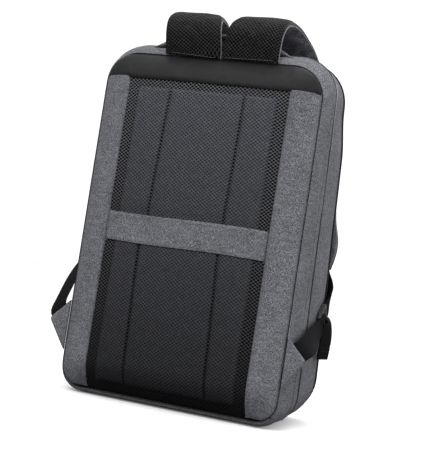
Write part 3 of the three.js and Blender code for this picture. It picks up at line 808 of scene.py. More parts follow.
def field_edge(z):
    """Half width of the mesh field, with its two lower corners rounded."""
    corner_z = FIELD_LOW + FIELD_RADIUS
    corner = FIELD_HALF - FIELD_RADIUS + corner_reach(corner_z - z, FIELD_RADIUS)
    return np.where(z < corner_z, corner, FIELD_HALF)


def build_foam_pads():
    inset = 1.2
    across = np.linspace(0, 1, 24)
    for name, left, right, low, top in PADS:
        z = np.linspace(low + 1.5, top - 1.5, 40)[:, None]
        x = lerp(left(z) + inset, right(z) - inset, across)
        z = np.broadcast_to(z, x.shape)
        grain = cloth_noise(grid(x, 0, z), scale=6.0, seed=41.0)
        y = quilted_y(x, z) + 2.0 + 0.25 * grain
        make("foam_" + name, backed(grid(x, y, z), 0.8, limit=back_y(x, z) + 6.6),
             "carcass", FOAM, "foam", ["foam_pad_" + name])


def build_back_mesh():
    # columns and rows are closer together where the pads are seamed
    columns = spans((-FIELD_HALF, -84, 26), (-83, -61, 14), (-60.2, -41, 44), (-40, 40, 34),
                    (40.8, 57.5, 40), (58.4, 83, 16), (84, FIELD_HALF, 26))
    rows = spans((FIELD_LOW, 40, 32), (42, 180, 52), (182, 250, 48), (252, 380, 48),
                 (381, 404.2, 24))
    x, z = np.meshgrid(columns, rows)
    x = x * (field_edge(z) / FIELD_HALF)
    y = quilted_y(x, z) + 0.45 * cloth_noise(grid(x, 0, z), scale=24.0, seed=3.1)
    _, mask = pad_fields(x, z)
    inner_y = np.minimum(y + 1.1, 1.6 + recede(z))
    make("back_mesh_panel", sheet(grid(x, y, z), grid(x, inner_y, z)), "carcass", BACK_MESH,
         "air_mesh", ["back_mesh_cover"], attributes={"pad": np.tile(mask.ravel(), 2)})


def build_side_strip(side, sign):
    """Grey padded strip between the mesh field and the edge of the back."""
    z = spans((10.6, 40, 22), (43, 380, 90), (382, 405, 12))[:, None]
    t = np.linspace(0, 1, 16)
    inner = field_edge(z) + 0.5
    outer = np.maximum(edge_x(z) - 0.9, inner + 2)
    x = inner + (outer - inner) * t
    # padded between the seams, and dives into both of them
    padding = 1.4 * np.sin(np.pi * t) ** 0.6
    dive = 2.2 * roll(t, 0.10) + 1.1 * roll(1 - t, 0.08)
    strip = grid(sign * x, back_y(x, z) - padding + dive, z)
    ripples = cloth_noise(strip, scale=38.0, seed=7.7 + sign, stretch=(1, 0, 1))
    strip[..., 1] += 0.7 * ripples * np.sin(np.pi * t)
    panel = make("side_panel_" + side, backed(strip, 2.2, limit=0.8), "carcass", GREY,
                 "grey_fabric", ["side_strip_" + side])
    billow(panel, rim(strip.shape, ends=2, sides=3), cap=0.9, slack=0.003)
    seam = strip[6:-4, 2] - [0, 0.15, 0]
    sew("strip_stitching_" + side,
        [stitches(seam, BACKWARD, step=1.0, pitch=3.6, length=2.5, width=0.5)],
        "carcass", THREAD)


def build_top_band():
    """Smooth black band across the top of the back."""
    x = spans((-139.6, -100, 24), (-97, 97, 60), (100, 139.6, 24))
    v = np.linspace(0, 1, 16)[:, None]
    z = lerp(403.4, edge_z(x) - 0.9, v)
    edges = 0.96 * roll(v, 0.14) + 1.4 * roll(1 - v, 0.16)
    ends = 1.5 * roll(139.9 - np.abs(x), 3.5)
    band = grid(x, back_y(x, z) - 1.2 * np.sin(np.pi * v) ** 0.7 + edges + ends - 0.7, z)
    ripples = cloth_noise(band, scale=22.0, seed=12.4, stretch=(0.6, 0, 1.3))
    band[..., 1] += 0.5 * ripples * np.sin(np.pi * v)
    panel = make("back_top_band", backed(band, 2.0, limit=0.8), "carcass", BAND,
                 "band_fabric", ["top_band"])
    billow(panel, rim(band.shape, ends=2, sides=3), cap=0.7, slack=0.006)


def build_luggage_strap():
    """Grey strap across the back, bridging the channels between the pads."""
    x = np.linspace(-104.6, 104.0, 84)
    level = quilted_y(x, STRAP_Z)
    highest = np.min([quilted_y(x, z) for z in (200, 206, STRAP_Z, 224, 230, 233)], axis=0)
    window = np.hanning(19) / np.hanning(19).sum()
    ends = 2.2 * roll(104.6 - np.abs(x), 4.0)
    rows = []
    for v in np.linspace(0, 1, 18):
        z = 197.6 + 35.6 * v + 0.8 * np.sin(x / 31.0)
        y = 0.2 * np.minimum(level, quilted_y(x, z)) + 0.8 * highest
        y = np.minimum(y, np.convolve(np.pad(y, 9, mode="edge"), window, "valid"))
        edge = 0.7 * roll(v, 0.08) + 0.7 * roll(1 - v, 0.08)
        hem = 0.16 * (np.exp(-((v - 0.11) / 0.02) ** 2) + np.exp(-((v - 0.89) / 0.02) ** 2))
        rows.append(grid(x, y - 2.2 + edge + hem + ends - 0.5 * np.sin(np.pi * v), z))
    strap = np.array(rows)
    strap[..., 1] += 0.22 * cloth_noise(strap, scale=30.0, seed=20.2, stretch=(1, 0, 2))
    make("luggage_sleeve_strap", backed(strap, 1.5), "carcass", GREY, "grey_fabric",
         ["luggage_strap"])
    hems = [stitches(strap[row, 3:-3], BACKWARD, step=1.0, pitch=3.4, length=2.3, width=0.45)
            for row in (2, 15)]
    ends = [stitches(strap[2:-2, column], BACKWARD, step=0.7, pitch=2.6, length=1.9,
                     width=0.5) for column in (3, 80)]
    sew("luggage_strap_stitching", hems + ends, "carcass", THREAD)


# ---------------------------------------------------------------- seams, gussets and main zip
GUSSET_THICKNESS = 2.6
# share of the depth, bulge; the peak near 0.3 is a folded welt before the flap over the zip
REAR_GUSSET = (
    (0.0055, -1.1), (0.012, -0.1), (0.026, 0.3), (0.06, 0.5), (0.11, 0.7), (0.16, 0.8),
    (0.21, 0.8), (0.25, 0.7), (0.28, 0.6), (0.288, 0.6), (0.293, 1.25), (0.299, 1.75),
    (0.305, 1.35), (0.312, 0.95), (0.33, 0.9), (0.37, 0.9), (0.405, 0.9), (0.424, 1.0),
    (0.431, 1.0), (0.4345, 0.6), (0.4358, -0.4))
FRONT_GUSSET = (
    (0.4385, -0.9), (0.440, 0.1), (0.444, 0.7), (0.450, 0.8), (0.456, 0.4), (0.462, -0.1),
    (0.468, -0.15), (0.48, 0.1), (0.51, 0.4), (0.56, 0.7), (0.62, 0.9), (0.68, 1.0),
    (0.74, 1.0), (0.80, 0.9), (0.86, 0.7), (0.91, 0.5), (0.945, 0.3), (0.968, 0.1),
    (0.980, -0.3), (0.988, -1.6))
BASE_PANEL = (
    (0.007, -1.4), (0.013, -0.2), (0.03, 0.1), (0.08, 0.2), (0.15, 0.1), (0.22, 0.0),
    (0.3, 0.0), (0.45, 0.0), (0.6, 0.0), (0.75, 0.0), (0.88, 0.0), (0.94, 0.0),
    (0.972, -0.2), (0.988, -1.4))
# outline points from one lower corner to the other, over the top and along the base
OVER_TOP = (LOW_CORNER, OUTLINE_COUNT - LOW_CORNER)
ALONG_BASE = (OUTLINE_COUNT - LOW_CORNER, OUTLINE_COUNT + LOW_CORNER)


def outward(points):
    """Normals of a line around the bag, facing away from its middle."""
    away = (points - MIDDLE) * [1, 0, 1]
    normals = unit(np.cross(unit(np.gradient(points, axis=0)), [0, 1, 0]))
    return normals * np.sign((normals * away).sum(1))[:, None]


def gusset(profile, reach, wave=0.0, seed=0.0):
    """Outer and inner grid of a panel wrapped around the bag."""
    points = [i % OUTLINE_COUNT for i in range(reach[0], reach[1] + 1)]
    outer = np.array([outline(share, -bulge)[points] for share, bulge in profile])
    inner = np.array([outline(share, GUSSET_THICKNESS)[points] for share, _ in profile])
    ripples = cloth_noise(outer, scale=55.0, seed=seed, stretch=(1, 1.4, 0.7), octaves=2)
    fade = np.sin(np.pi * np.linspace(0, 1, len(profile))) ** 0.8
    away = unit((outer - MIDDLE) * [1, 0, 1])
    return outer + away * (wave * ripples * fade[:, None])[..., None], inner


def build_seam_cords():
    for place, body, share, radius in (("rear", "carcass", 0, 0.5), ("front", "front", 1, 1.5)):
        path = resample(outline(share), 3.0, closed=True)
        make(place + "_seam_cord", tube(path, radius, closed=True), body, PIPING, "piping",
             [place + "_piping"], sharp=None)


def build_gusset(place, body, profile, wave, seed, flat_rows, cap):
    """Half of the cloth around the sides and top; flat_rows stay out of the billowing."""
    outer, inner = gusset(profile, OVER_TOP, wave, seed)
    panel = make(place + "_gusset", sheet(outer, inner), body, GREY, "grey_fabric",
                 [f"{place}_gusset_{part}" for part in ("left", "right", "top")], sharp=70)
    held = rim(outer.shape, ends=3, sides=2)
    held[flat_rows] = True
    billow(panel, held, cap)
    return outer


def build_gussets():
    outer = build_gusset("rear", "carcass", REAR_GUSSET, wave=1.1, seed=4.4,
                         flat_rows=slice(7, None), cap=0.9)
    sew("zip_flap_stitching",
        [stitches(outer[13][4:-4], outward, step=1.2, pitch=3.2, length=2.5, width=0.6)],
        "carcass", PALE_THREAD)
    outer = build_gusset("front", "front", FRONT_GUSSET, wave=1.3, seed=9.1,
                         flat_rows=slice(0, 8), cap=0.4)
    sew("front_zip_stitching",
        [stitches(outer[6][4:-4], outward, step=1.2, pitch=3.6, length=2.4, width=0.4)],
        "front", DARK_THREAD)
    make("bag_base", sheet(*gusset(BASE_PANEL, ALONG_BASE)), "carcass", GREY,
         "grey_fabric", ["base_panel"], sharp=70)


def zip_teeth(share, sign):
    """Row of teeth in the gap between the gussets, reaching towards sign * y."""
    path = resample(outline(share, -1.2)[OVER_TOP[0] + 2:OVER_TOP[1] - 1], 2.1)
    reach = np.array([0, 1.7 * sign, 0])
    teeth = []
    for place, up, tangent in zip(path, outward(path), unit(np.gradient(path, axis=0))):
        along, low, high = tangent * 0.75, place - up * 0.5, place + up * 0.7
        end = np.array([low - along, low + along, high + along, high - along])
        teeth.append((np.vstack([end, end + reach]), BOX_FACES))
    return join(teeth)


def build_main_zip():
    for place, body, share, sign in (("rear", "carcass", 0.4185, 1),
                                     ("front", "front", 0.4415, -1)):
        make("main_zip_teeth_" + place, zip_teeth(share, sign), body, ZIP_COIL, "webbing",
             sharp=30)


# ---------------------------------------------------------------- front pocket
POCKET_DEPTH = 19.0
POCKET_INNER_DEPTH = 16.3
POCKET_MIDDLE_Z = 235.0
# inset from the bag's front outline, distance in front of it
POCKET_OUTER = ((3.2, 1.9), (2.0, 2.3), (1.7, 3.4), (1.8, 6.0), (2.1, 8.6), (2.9, 11.4),
                (4.4, 14.0), (6.8, 16.2), (10.0, 17.8), (14.0, 18.8), (18.0, 19.2),
                (22.5, 19.1), (27, 19.0))
POCKET_INNER = ((3.4, 2.4), (4.4, 3.0), (4.8, 8.4), (8.0, 13.4), (14.0, 15.8), (27, 16.3))


def pocket_skin(rings, dy):
    """Skin over the rings, closed by concentric rings and a fan of triangles."""
    middle = np.array([0, 0, POCKET_MIDDLE_Z])
    rings = list(rings)
    border = rings[-1]
    for share in np.linspace(1, 0, 8)[1:-1]:
        ring = border * [1, 0, 1] * share + middle * (1 - share)
        ring[:, 1] = depth(ring[:, 2]) + dy
        rings.append(ring)
    tip = [(0, depth(POCKET_MIDDLE_Z) + dy, POCKET_MIDDLE_Z)]
    count = len(border)
    last = (len(rings) - 1) * count
    faces = ring_faces(len(rings), count)
    faces += [(last + j, last + (j + 1) % count, last + count) for j in range(count)]
    return np.vstack(rings + [tip]), faces


def build_front_pocket():
    """Padded shell with a rolled edge."""
    outer, inner = [np.array([outline(1, inset, dy) for inset, dy in profile])
                    for profile in (POCKET_OUTER, POCKET_INNER)]
    rings = np.arange(len(outer))
    fade = np.clip(rings / 4.0, 0, 1) * np.clip((len(outer) - 1 - rings) / 3.0, 0, 1)
    outer[..., 1] += 0.9 * cloth_noise(outer, scale=48.0, seed=31.0) * fade[:, None]
    outer_points, faces = pocket_skin(outer, POCKET_DEPTH)
    inner_points, inner_faces = pocket_skin(inner, POCKET_INNER_DEPTH)
    start = len(outer_points)
    faces += [tuple(i + start for i in face[::-1]) for face in inner_faces]
    for j in range(OUTLINE_COUNT):
        k = (j + 1) % OUTLINE_COUNT
        faces.append((j, k, start + k, start + j))
    make("front_pocket", (np.vstack([outer_points, inner_points]), faces), "front", GREY,
         "grey_fabric", ["front_pocket_shell"], sharp=70)


# ---------------------------------------------------------------- on the leaning pocket face
# Pieces here are drawn upright with y as their height, then laid on the face.
LEAN_ANGLE = math.atan(1 / LEAN)
FACE_NORMAL = (0, math.cos(LEAN_ANGLE), math.sin(LEAN_ANGLE))
FACE_Z = 207.0
FACE_Y = depth(FACE_Z) + POCKET_DEPTH
PANEL_WIDTH, PANEL_HEIGHT = 214.0, 304.0
# inset from the panel's full width and height, corner radius, height
BORDER_RINGS = ((0, 12, 0.35), (0, 12, 1.0), (1.2, 11.6, 2.0), (4, 10, 2.7), (12, 7, 2.9),
                (20, 4, 2.7), (23, 3, 2.2), (24.2, 2.4, 1.2), (24.2, 2.4, 0.35))
BACKING_RINGS = ((24.8, 2, 0.4), (24.8, 2, 1.3), (25.6, 1.8, 1.6))
CELL_PITCH_X, CELL_PITCH_Z = 92, 68
CELL_HALF_X, CELL_HALF_Z, CELL_CORNER = 43.2, 31.4, 6.0
ZIP_Z = 184.0                  # pocket zip, above FACE_Z along the face
# distance from the zip's middle, height
WELT_PROFILE = ((1.1, 0.3), (1.3, 1.3), (2.2, 1.9), (4.0, 1.9), (6.0, 1.5), (7.2, 0.3))


def on_face(points):
    x, y, z = np.asarray(points, float).reshape(-1, 3).T
    _, cosine, sine = FACE_NORMAL
    return np.column_stack([x, FACE_Y + y * cosine - z * sine, FACE_Z + y * sine + z * cosine])


def make_on_face(name, shape, *rest, **options):
    make(name, (on_face(shape[0]), shape[1]), "front", *rest, **options)


def rounded_ring(inset, radius, y, steps=8):
    """Rounded rectangle, inset from the panel's full size."""
    half_x = (PANEL_WIDTH - inset) / 2 - radius
    half_z = (PANEL_HEIGHT - inset) / 2 - radius
    points = []
    for x, z, quarter in ((half_x, -half_z, -1), (half_x, half_z, 0), (-half_x, half_z, 1),
                          (-half_x, -half_z, 2)):
        for i in range(steps + 1):
            angle = (quarter + i / steps) * math.pi / 2
            points.append((x + radius * math.cos(angle), y, z + radius * math.sin(angle)))
    return np.array(points)


def rounded_solid(specs, **options):
    rings = [rounded_ring(*spec) for spec in specs]
    return np.vstack(rings), ring_faces(len(rings), len(rings[0]), **options)


def bar(x0, x1, z0, z1, y1):
    """Thin box that rises from inside a cell to the height y1."""
    corners = ((x0, z0), (x1, z0), (x1, z1), (x0, z1))
    return np.array([(x, y, z) for y in (2.1, y1) for x, z in corners]), BOX_FACES


def build_solar_panel():
    make_on_face("solar_border", rounded_solid(BORDER_RINGS, closed=True), RUBBER,
                 "black_plastic", ["solar_frame"], sharp=50)
    rows = []
    for inset, radius in ((5.0, 7.0), (17.5, 2.5)):
        ring = rounded_ring(inset * 2, radius, 2.95)
        rows.append(stitches(on_face(np.vstack([ring, ring[:1]])), FACE_NORMAL, step=1.2,
                             pitch=3.6, length=2.5, width=0.5))
    sew("solar_border_stitching", rows, "front", THREAD, "black_plastic")
    make_on_face("solar_backing_sheet", rounded_solid(BACKING_RINGS, ends=1), BOARD,
                 "solar_cells", ["solar_laminate"], sharp=30)

    w, h, cut = CELL_HALF_X, CELL_HALF_Z, CELL_CORNER
    octagon = ((-w + cut, -h), (w - cut, -h), (w, -h + cut), (w, h - cut),
               (w - cut, h), (-w + cut, h), (-w, h - cut), (-w, -h + cut))
    cells, bars = [], []
    for column in range(2):
        for row in range(4):
            mid_x, mid_z = (column - 0.5) * CELL_PITCH_X, (row - 1.5) * CELL_PITCH_Z
            points = [(mid_x + x * (1 - inset / w), y, mid_z + z * (1 - inset / h))
                      for inset, y in ((0, 1.45), (0, 1.95), (0.35, 2.15))
                      for x, z in octagon]
            cells.append((points, ring_faces(3, 8, ends=1)))
            for x in (-22, 0, 22):
                bars.append(bar(mid_x + x - 0.55, mid_x + x + 0.55, mid_z - h + 1.5,
                                mid_z + h - 1.5, y1=2.24))
            for z in np.linspace(-h + 3.2, h - 3.2, 17):
                bars.append(bar(mid_x - w + 3.2, mid_x + w - 3.2, mid_z + z - 0.09,
                                mid_z + z + 0.09, y1=2.19))
    make_on_face("solar_cell_array", join(cells), CELL, "solar_cells", sharp=25)
    make_on_face("solar_bus_bars", join(bars), BUS_BAR, "zip_metal", smooth=False)


def build_pocket_zip():
    """Two welts, a row of teeth on each, and their stitching."""
    welts = []
    for sign in (-1, 1):
        columns = np.linspace(-106, 106, 70)
        outer = [[(x, y, ZIP_Z + sign * z) for z, y in WELT_PROFILE] for x in columns]
        inner = [[(x, 0.15, ZIP_Z + sign * z) for z, _ in WELT_PROFILE] for x in columns]
        welts.append(sheet(outer, inner))
    make_on_face("pocket_zip_welts", join(welts), GREY, "grey_fabric", ["pocket_zip_tape"],
                 sharp=50)
    teeth = []
    for middle in np.arange(-104, 104.1, 2.0):
        for sign in (-1, 1):
            x = middle + 0.5 * sign
            points = []
            for half, y, near, far in ((0.42, 0.5, -0.2, 1.2), (0.32, 1.35, -0.1, 1.1)):
                z0, z1 = ZIP_Z + near * sign, ZIP_Z + far * sign
                points += [(x - half, y, z0), (x + half, y, z0), (x + half, y, z1),
                           (x - half, y, z1)]
            teeth.append((points, BOX_FACES))
    make_on_face("pocket_zip_teeth", join(teeth), ZIP_COIL, "webbing", sharp=30)
    rows = [stitches(on_face([(x, 1.85, ZIP_Z + sign * 5.0) for x in (-105, 105)]),
                     FACE_NORMAL, step=1.5, pitch=3.4, length=2.3, width=0.45)
            for sign in (-1, 1)]
    sew("pocket_zip_stitching", rows, "front", THREAD)


# ---------------------------------------------------------------- ribbons
Path = namedtuple("Path", "points width thickness side normal along")
Ribbon = namedtuple("Ribbon", "shape top bottom attributes path")


def catmull(stations, count):
    """Catmull-Rom curve through all columns of a table of stations."""
    padded = np.vstack([2 * stations[0] - stations[1], stations,
                        2 * stations[-1] - stations[-2]])
    curve = []
    for place in np.linspace(0, len(stations) - 1, count):
        i = min(int(place), len(stations) - 2)
        t = place - i
        p0, p1, p2, p3 = padded[i:i + 4]
        curve.append(0.5 * ((2 * p1) + (-p0 + p2) * t + (2 * p0 - 5 * p1 + 4 * p2 - p3) * t * t
                            + (-p0 + 3 * p1 - 3 * p2 + p3) * t ** 3))
    return np.array(curve)


def ribbon_path(stations, count):
    """Stations are x, y, z, width, thickness and the direction across."""
    curve = catmull(np.array(stations, float), count)
    points, side = curve[:, :3], curve[:, 5:8]
    tangents = unit(np.gradient(points, axis=0))
    side = unit(side - tangents * (side * tangents).sum(1)[:, None])
    return Path(points, curve[:, 3], curve[:, 4], side, np.cross(tangents, side),
                arc_length(points))


def ribbon(stations, count, top, bottom, across):
    """Closed ribbon.

    top and bottom give the offset along the normal from the place across (-1 to 1), the
    row, the thickness and the length so far.
    """
    path = ribbon_path(stations, count)

    def layer(offset):
        return np.array([[
            path.points[i] + path.side[i] * (v * path.width[i] / 2)
            + path.normal[i] * offset(v, i, path.thickness[i], path.along[i])
            for v in across] for i in range(count)])

    upper, lower = layer(top), layer(bottom)
    su = (across * path.width[:, None] / 2).ravel() / 1000
    sv = np.repeat(path.along, len(across)) / 1000
    attributes = {"su": np.tile(su, 2), "sv": np.tile(sv, 2)}
    return Ribbon(sheet(upper, lower), upper, lower, attributes, path)


def make_ribbon(name, piece, body, material, slot, replaces, sharp=60):
    return make(name, piece.shape, body, material, slot, [replaces], sharp,
                attributes=piece.attributes)


# ---------------------------------------------------------------- shoulder straps
RISE = 64.0              # the left strap's lower end is this much higher
RISE_START = 11          # last station before it rises
WEBBING_WIDTH, WEBBING_THICKNESS = 25, 1.6
# Right strap: x, y, z, width, thickness, direction across. The left one is worked out from it.
STRAP = np.array([
    (45, -3.6, 444.6, 72, 6, 1, 0, 0), (45.5, -4.6, 457, 72, 8, 1, 0, 0),
    (46.5, -3.2, 471, 71, 10, 1, 0, 0), (48, 4, 484, 70, 10, 1, 0, 0),
    (50, 19, 493.5, 68, 10, 1, 0, 0), (52, 41, 497.5, 68, 10, 1, 0, 0),
    (54, 68, 497.5, 68, 10, 1, 0, 0), (57, 96, 492, 68, 10, 1, 0, 0),
    (60, 122, 481.5, 69, 10, 1, 0, 0.1), (65, 143.5, 464.5, 70, 10, 1, 0, 0.16),
    (71, 157.5, 442, 70, 10, 1, 0, 0.24), (78, 166.5, 415, 70, 10, 1, 0, 0.34),
    (86, 169, 384, 69, 10, 1, 0, 0.4), (94.5, 169, 350, 67, 10, 1, 0, 0.42),
    (103.5, 168, 318, 65, 10, 1, -0.04, 0.44), (113, 166, 288, 62, 10, 1, -0.1, 0.44),
    (121, 163, 260, 58, 10, 1, -0.2, 0.42), (131, 160.5, 235, 53, 9.6, 1, -0.34, 0.4),
    (136, 159, 214, 42, 9, 1, -0.45, 0.42), (139.5, 156.5, 199, 30, 8, 0.95, -0.6, 0.42)])
# Webbing tables, drawn for the right side: x, y, z, direction across.
# The lower webbing runs from the corner tab up to the buckle and over its bar.
LOWER_WEBBING = {
    "right": ((154.2, 2.7, 93.2, 1, 0, -1), (159.6, 3.0, 98.6, 1, 0, -1),
              (163.6, 7, 102.5, 1, 0.08, -1), (165.2, 20, 107.5, 0.9, 0.15, -1),
              (164.6, 42, 114, 0.6, 0.25, -1), (163, 64, 119.5, 0.3, 0.4, -1),
              (161.8, 84, 124, 0.12, 0.5, -1), (161.5, 94, 126.5, 0.05, 0.6, -0.9),
              (161.3, 103, 130.5, 0, 0.66, -0.75), (160.9, 110, 134.5, 0, 0.66, -0.75)),
    "left": ((154.2, 2.7, 93.2, 1, 0, -1), (159.8, 3.0, 98.9, 1, 0, -1),
             (162.9, 7.5, 106.5, 1, 0.05, -0.95), (163.6, 20, 122.5, 1, 0.1, -0.9),
             (164.2, 41, 148, 1, 0.15, -0.85), (163.4, 62, 170, 0.9, 0.3, -0.8),
             (161.9, 82, 187.5, 0.4, 0.6, -0.8), (161.5, 94, 195, 0.1, 0.66, -0.75),
             (161.3, 103, 199.5, 0, 0.66, -0.75), (160.9, 110, 203, 0, 0.66, -0.75))}
BUCKLE_LOOP = (
    (139.7, 156.5, 197.8, 0.95, -0.6, 0.42), (141, 156.2, 193, 0.95, -0.55, 0.45),
    (145.8, 155, 183, 0.85, -0.4, 0.5), (153.2, 149.4, 170.5, 0.54, -0.54, 0.63),
    (158, 139.5, 160.5, 0.2, -0.64, 0.72), (158.8, 131, 153.3, 0.02, -0.66, 0.75),
    (158.4, 126, 148.8, 0, -0.66, 0.75), (158.0, 120.5, 143.5, 0, -0.66, 0.75))
TAIL = (
    (161.8, 111.5, 138.5, 0.02, 0.99, -0.3), (163.6, 113, 136, 0.1, 0.99, -0.1),
    (164.9, 114.5, 130.5, 0.2, 0.98, 0), (165.5, 115.5, 122, 0.3, 0.95, 0),
    (165.6, 116.5, 110, 0.36, 0.93, 0), (164.6, 117.5, 98, 0.35, 0.93, 0),
    (163.8, 118, 86, 0.33, 0.94, 0))
TAB_OUTLINE = np.array([(143.2, 50), (146, 53.5), (167.2, 84.0), (168.2, 87.5),    # x, z
                        (166.6, 90.4), (150.2, 106.4), (147, 110.8), (143.2, 114)])
TAB_RINGS = ((5, -2.0), (2.4, -1.9), (0.7, -1.4), (0.1, 0.0), (0.7, 1.4), (2.4, 1.9),
             (5, 2.0))                                                      # inset, y
TAB_SEAM = ((147.5, 58.5), (163.6, 84.5), (163.4, 88.2), (147.8, 103.4))    # x, z
MIRROR = np.array([-1, 1, 1, 1, 1, 1, -1, -1])    # mirrors a station to the left side
PAD_COUNT = 150
PAD_ACROSS = np.concatenate([[-1, -0.985, -0.95, -0.9], np.linspace(-0.84, 0.84, 17),
                             [0.9, 0.95, 0.985, 1]])


def strap_stations(sign):
    stations = STRAP.copy()
    if sign < 0:
        stations *= MIRROR
        for i, station in enumerate(stations):
            rise = max(0.0, (i - RISE_START) / (len(STRAP) - 1 - RISE_START))
            station[0] += 15 * (1 - min(1, i / RISE_START))
            station[1] += 6 * math.sin(math.pi * rise)
            station[2] += RISE * rise
    root = (stations[0, 0], -2.9, 438.6, 72.5, 4.5, 1, 0, 0)
    return np.vstack([root, stations])


def webbing(rows, sign, rise, count, half, edge=0.6):
    """Flat webbing; half is its half thickness, edge the share left at its edges."""
    stations = np.array([(*row[:3], WEBBING_WIDTH, WEBBING_THICKNESS, *row[3:])
                         for row in rows], float)
    if sign < 0:
        stations *= MIRROR
        stations[:, 2] += rise
    half = np.broadcast_to(half, count)

    def bottom(v, i, *_):
        return half[i] * (1 if abs(v) < 0.99 else edge)

    return ribbon(stations, count, lambda *place: -bottom(*place), bottom,
                  np.linspace(-1, 1, 9))


def build_strap_pad(side, sign, stations, body):
    def top(v, i, thickness, along):
        crown = (1 - abs(v) ** 5) ** 0.5
        end = min(1.0, i / 6.0, (PAD_COUNT - 1 - i) / 5.0 + 0.15)
        ripple = (0.45 * wobble(v * 2.2, along / 38.0, 3.0 * sign)
                  + 0.25 * wobble(v * 4, along / 15.0, 9.0 * sign))
        return -(0.9 + (thickness / 2 - 0.4) * crown * (0.55 + 0.45 * end)) - ripple * crown

    def bottom(v, i, thickness, along):
        return 0.9 + (thickness / 2 - 1.6) * (1 - abs(v) ** 5) ** 0.5

    pad = ribbon(stations, PAD_COUNT, top, bottom, PAD_ACROSS)
    obj = make_ribbon("shoulder_pad_" + side, pad, body, STRAP_MESH, "air_mesh",
                      "strap_pad_" + side)
    billow(obj, rim(pad.top.shape, ends=4, sides=4), cap=0.8)
    return pad


def build_strap_lining(side, sign, stations, body):
    """Grey underside with soft cross folds where the strap arches."""
    flat_from = 235.0    # length from which the lining lies flat

    def inner(v, i, thickness, along):
        arch = math.exp(-((along - 85.0) / 62.0) ** 2)
        fold = ((0.5 + arch) * max(0.0, wobble(v * 1.1 + 4, along / 13.0, 5.0 * sign))
                + (0.3 + 0.4 * arch) * wobble(v * 3, along / 24.0, 1.0))
        phase = 2.2 * wobble(v * 0.9, along / 30.0, 8.0 * sign)
        fold += 2.6 * arch * max(0.0, math.sin(along / 4.6 + 1.7 * v * sign + phase)) ** 1.5
        thinner = min(1.0, max(0.0, (along - flat_from) / 60.0))
        bed = max(2.2, thickness / 2 - 0.2 - thinner)
        return bed * (0.55 + 0.45 * (1 - abs(v) ** 4)) + fold * (1 - v * v)

    lining = ribbon(stations, PAD_COUNT, lambda *place: inner(*place) + 1.0, inner,
                    np.linspace(-0.97, 0.97, 19))
    # its material is GREY with painted light, lighter to lift the shaded underside
    obj = make_ribbon("shoulder_lining_" + side, lining, body, PAINTED_LIGHT_GREY_LINING, "lining_fabric",
                      "strap_lining_" + side)
    # the cloth in the arch is a little too long for its bed, so it buckles into folds
    held = rim(lining.top.shape, ends=5, sides=1)
    held[lining.path.along > flat_from] = True
    billow(obj, held, cap=3.0, pressure=3.0, slack=0.07)


def build_strap_trim(side, pad, body):
    """Edge cords and the stitching at both ends of the pad."""
    path = pad.path
    for sign, letter in ((-1, "a"), (1, "b")):
        reach = sign * (path.width[:, None] / 2 - 0.1)
        cord = path.points + path.side * reach + path.normal * 2.4
        make(f"strap_edge_cord_{side}_{letter}", tube(cord, 0.85, sides=7, up=path.normal),
             body, PALE_PIPING, "piping", sharp=None)
    rows = [stitches(pad.top[i, 3:-3] - path.normal[i] * lift, -path.normal[i], step=0.8,
                     pitch=3.0, length=2.1, width=0.5)
            for i, lift in ((2, 0.1), (PAD_COUNT - 8, 0.0))]
    sew("strap_stitching_" + side, rows, body, THREAD, "air_mesh")


def build_strap_webbing(side, sign, body):
    """Lower webbing, its free end and the loop that holds the buckle on the pad."""
    rise = 0 if sign > 0 else RISE
    lower = webbing(LOWER_WEBBING[side], sign, 0, count=72, half=0.8, edge=0.5625)
    obj = make_ribbon("adjuster_webbing_" + side, lower, None, WEBBING, "webbing",
                      "lower_webbing_" + side, sharp=50)
    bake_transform(obj, "carcass", body, start=(sign * 0.162, -0.066, 0.099),
             end=(sign * 0.161, 0.036, (133 + rise) / 1000))
    # the free end has its hem folded over
    hem_half = 1.7
    tail = webbing(TAIL, sign, rise, count=48, half=np.where(np.arange(48) < 38, 0.8, hem_half))
    make_ribbon("adjuster_tail_" + side, tail, body, WEBBING, "webbing",
                "webbing_tail_" + side, sharp=50)
    rows = []
    for i in (40, 46):
        for face in (-1, 1):
            normal = tail.path.normal[i] * face
            across = np.linspace(-10.5, 10.5, 12)[:, None]
            line = tail.path.points[i] + tail.path.side[i] * across + normal * hem_half
            rows.append(stitches(line, normal, step=0.7, pitch=2.4, length=1.7, width=0.45))
    sew("tail_hem_stitching_" + side, rows, body, DARK_THREAD, "webbing")
    loop = webbing(BUCKLE_LOOP, sign, rise, count=44, half=1.2)
    make_ribbon("pad_end_loop_" + side, loop, body, WEBBING, "webbing",
                "buckle_loop_" + side, sharp=50)


def build_corner_tab(side, sign):
    """Triangular tab that holds the lower webbing."""
    inwards = unit(TAB_OUTLINE.mean(0) - TAB_OUTLINE)
    rings = []
    for inset, y in TAB_RINGS:
        x, z = (TAB_OUTLINE + inwards * inset).T
        rings.append(grid(sign * x, y, z))
    make("corner_tab_" + side,
         (np.vstack(rings), ring_faces(len(TAB_RINGS), len(TAB_OUTLINE), ends=1)),
         "carcass", GREY, "grey_fabric", ["webbing_tab_" + side])
    rows = [stitches([(sign * x, face * 2.05, z) for x, z in TAB_SEAM], (0, face, 0),
                     step=0.6, pitch=3.0, length=2.1, width=0.45) for face in (-1, 1)]
    sew("tab_stitching_" + side, rows, "carcass", THREAD)


def build_shoulder_strap(side, sign):
    body = "strap_" + side
    stations = strap_stations(sign)
    pad = build_strap_pad(side, sign, stations, body)
    build_strap_lining(side, sign, stations, body)
    build_strap_trim(side, pad, body)
    build_strap_webbing(side, sign, body)
    build_corner_tab(side, sign)


# ---------------------------------------------------------------- carry handle
HANDLE_Y, HANDLE_HALF, HANDLE_Z, HANDLE_ARCH = 26, 64, 464, 8
HANDLE_COUNT = 70
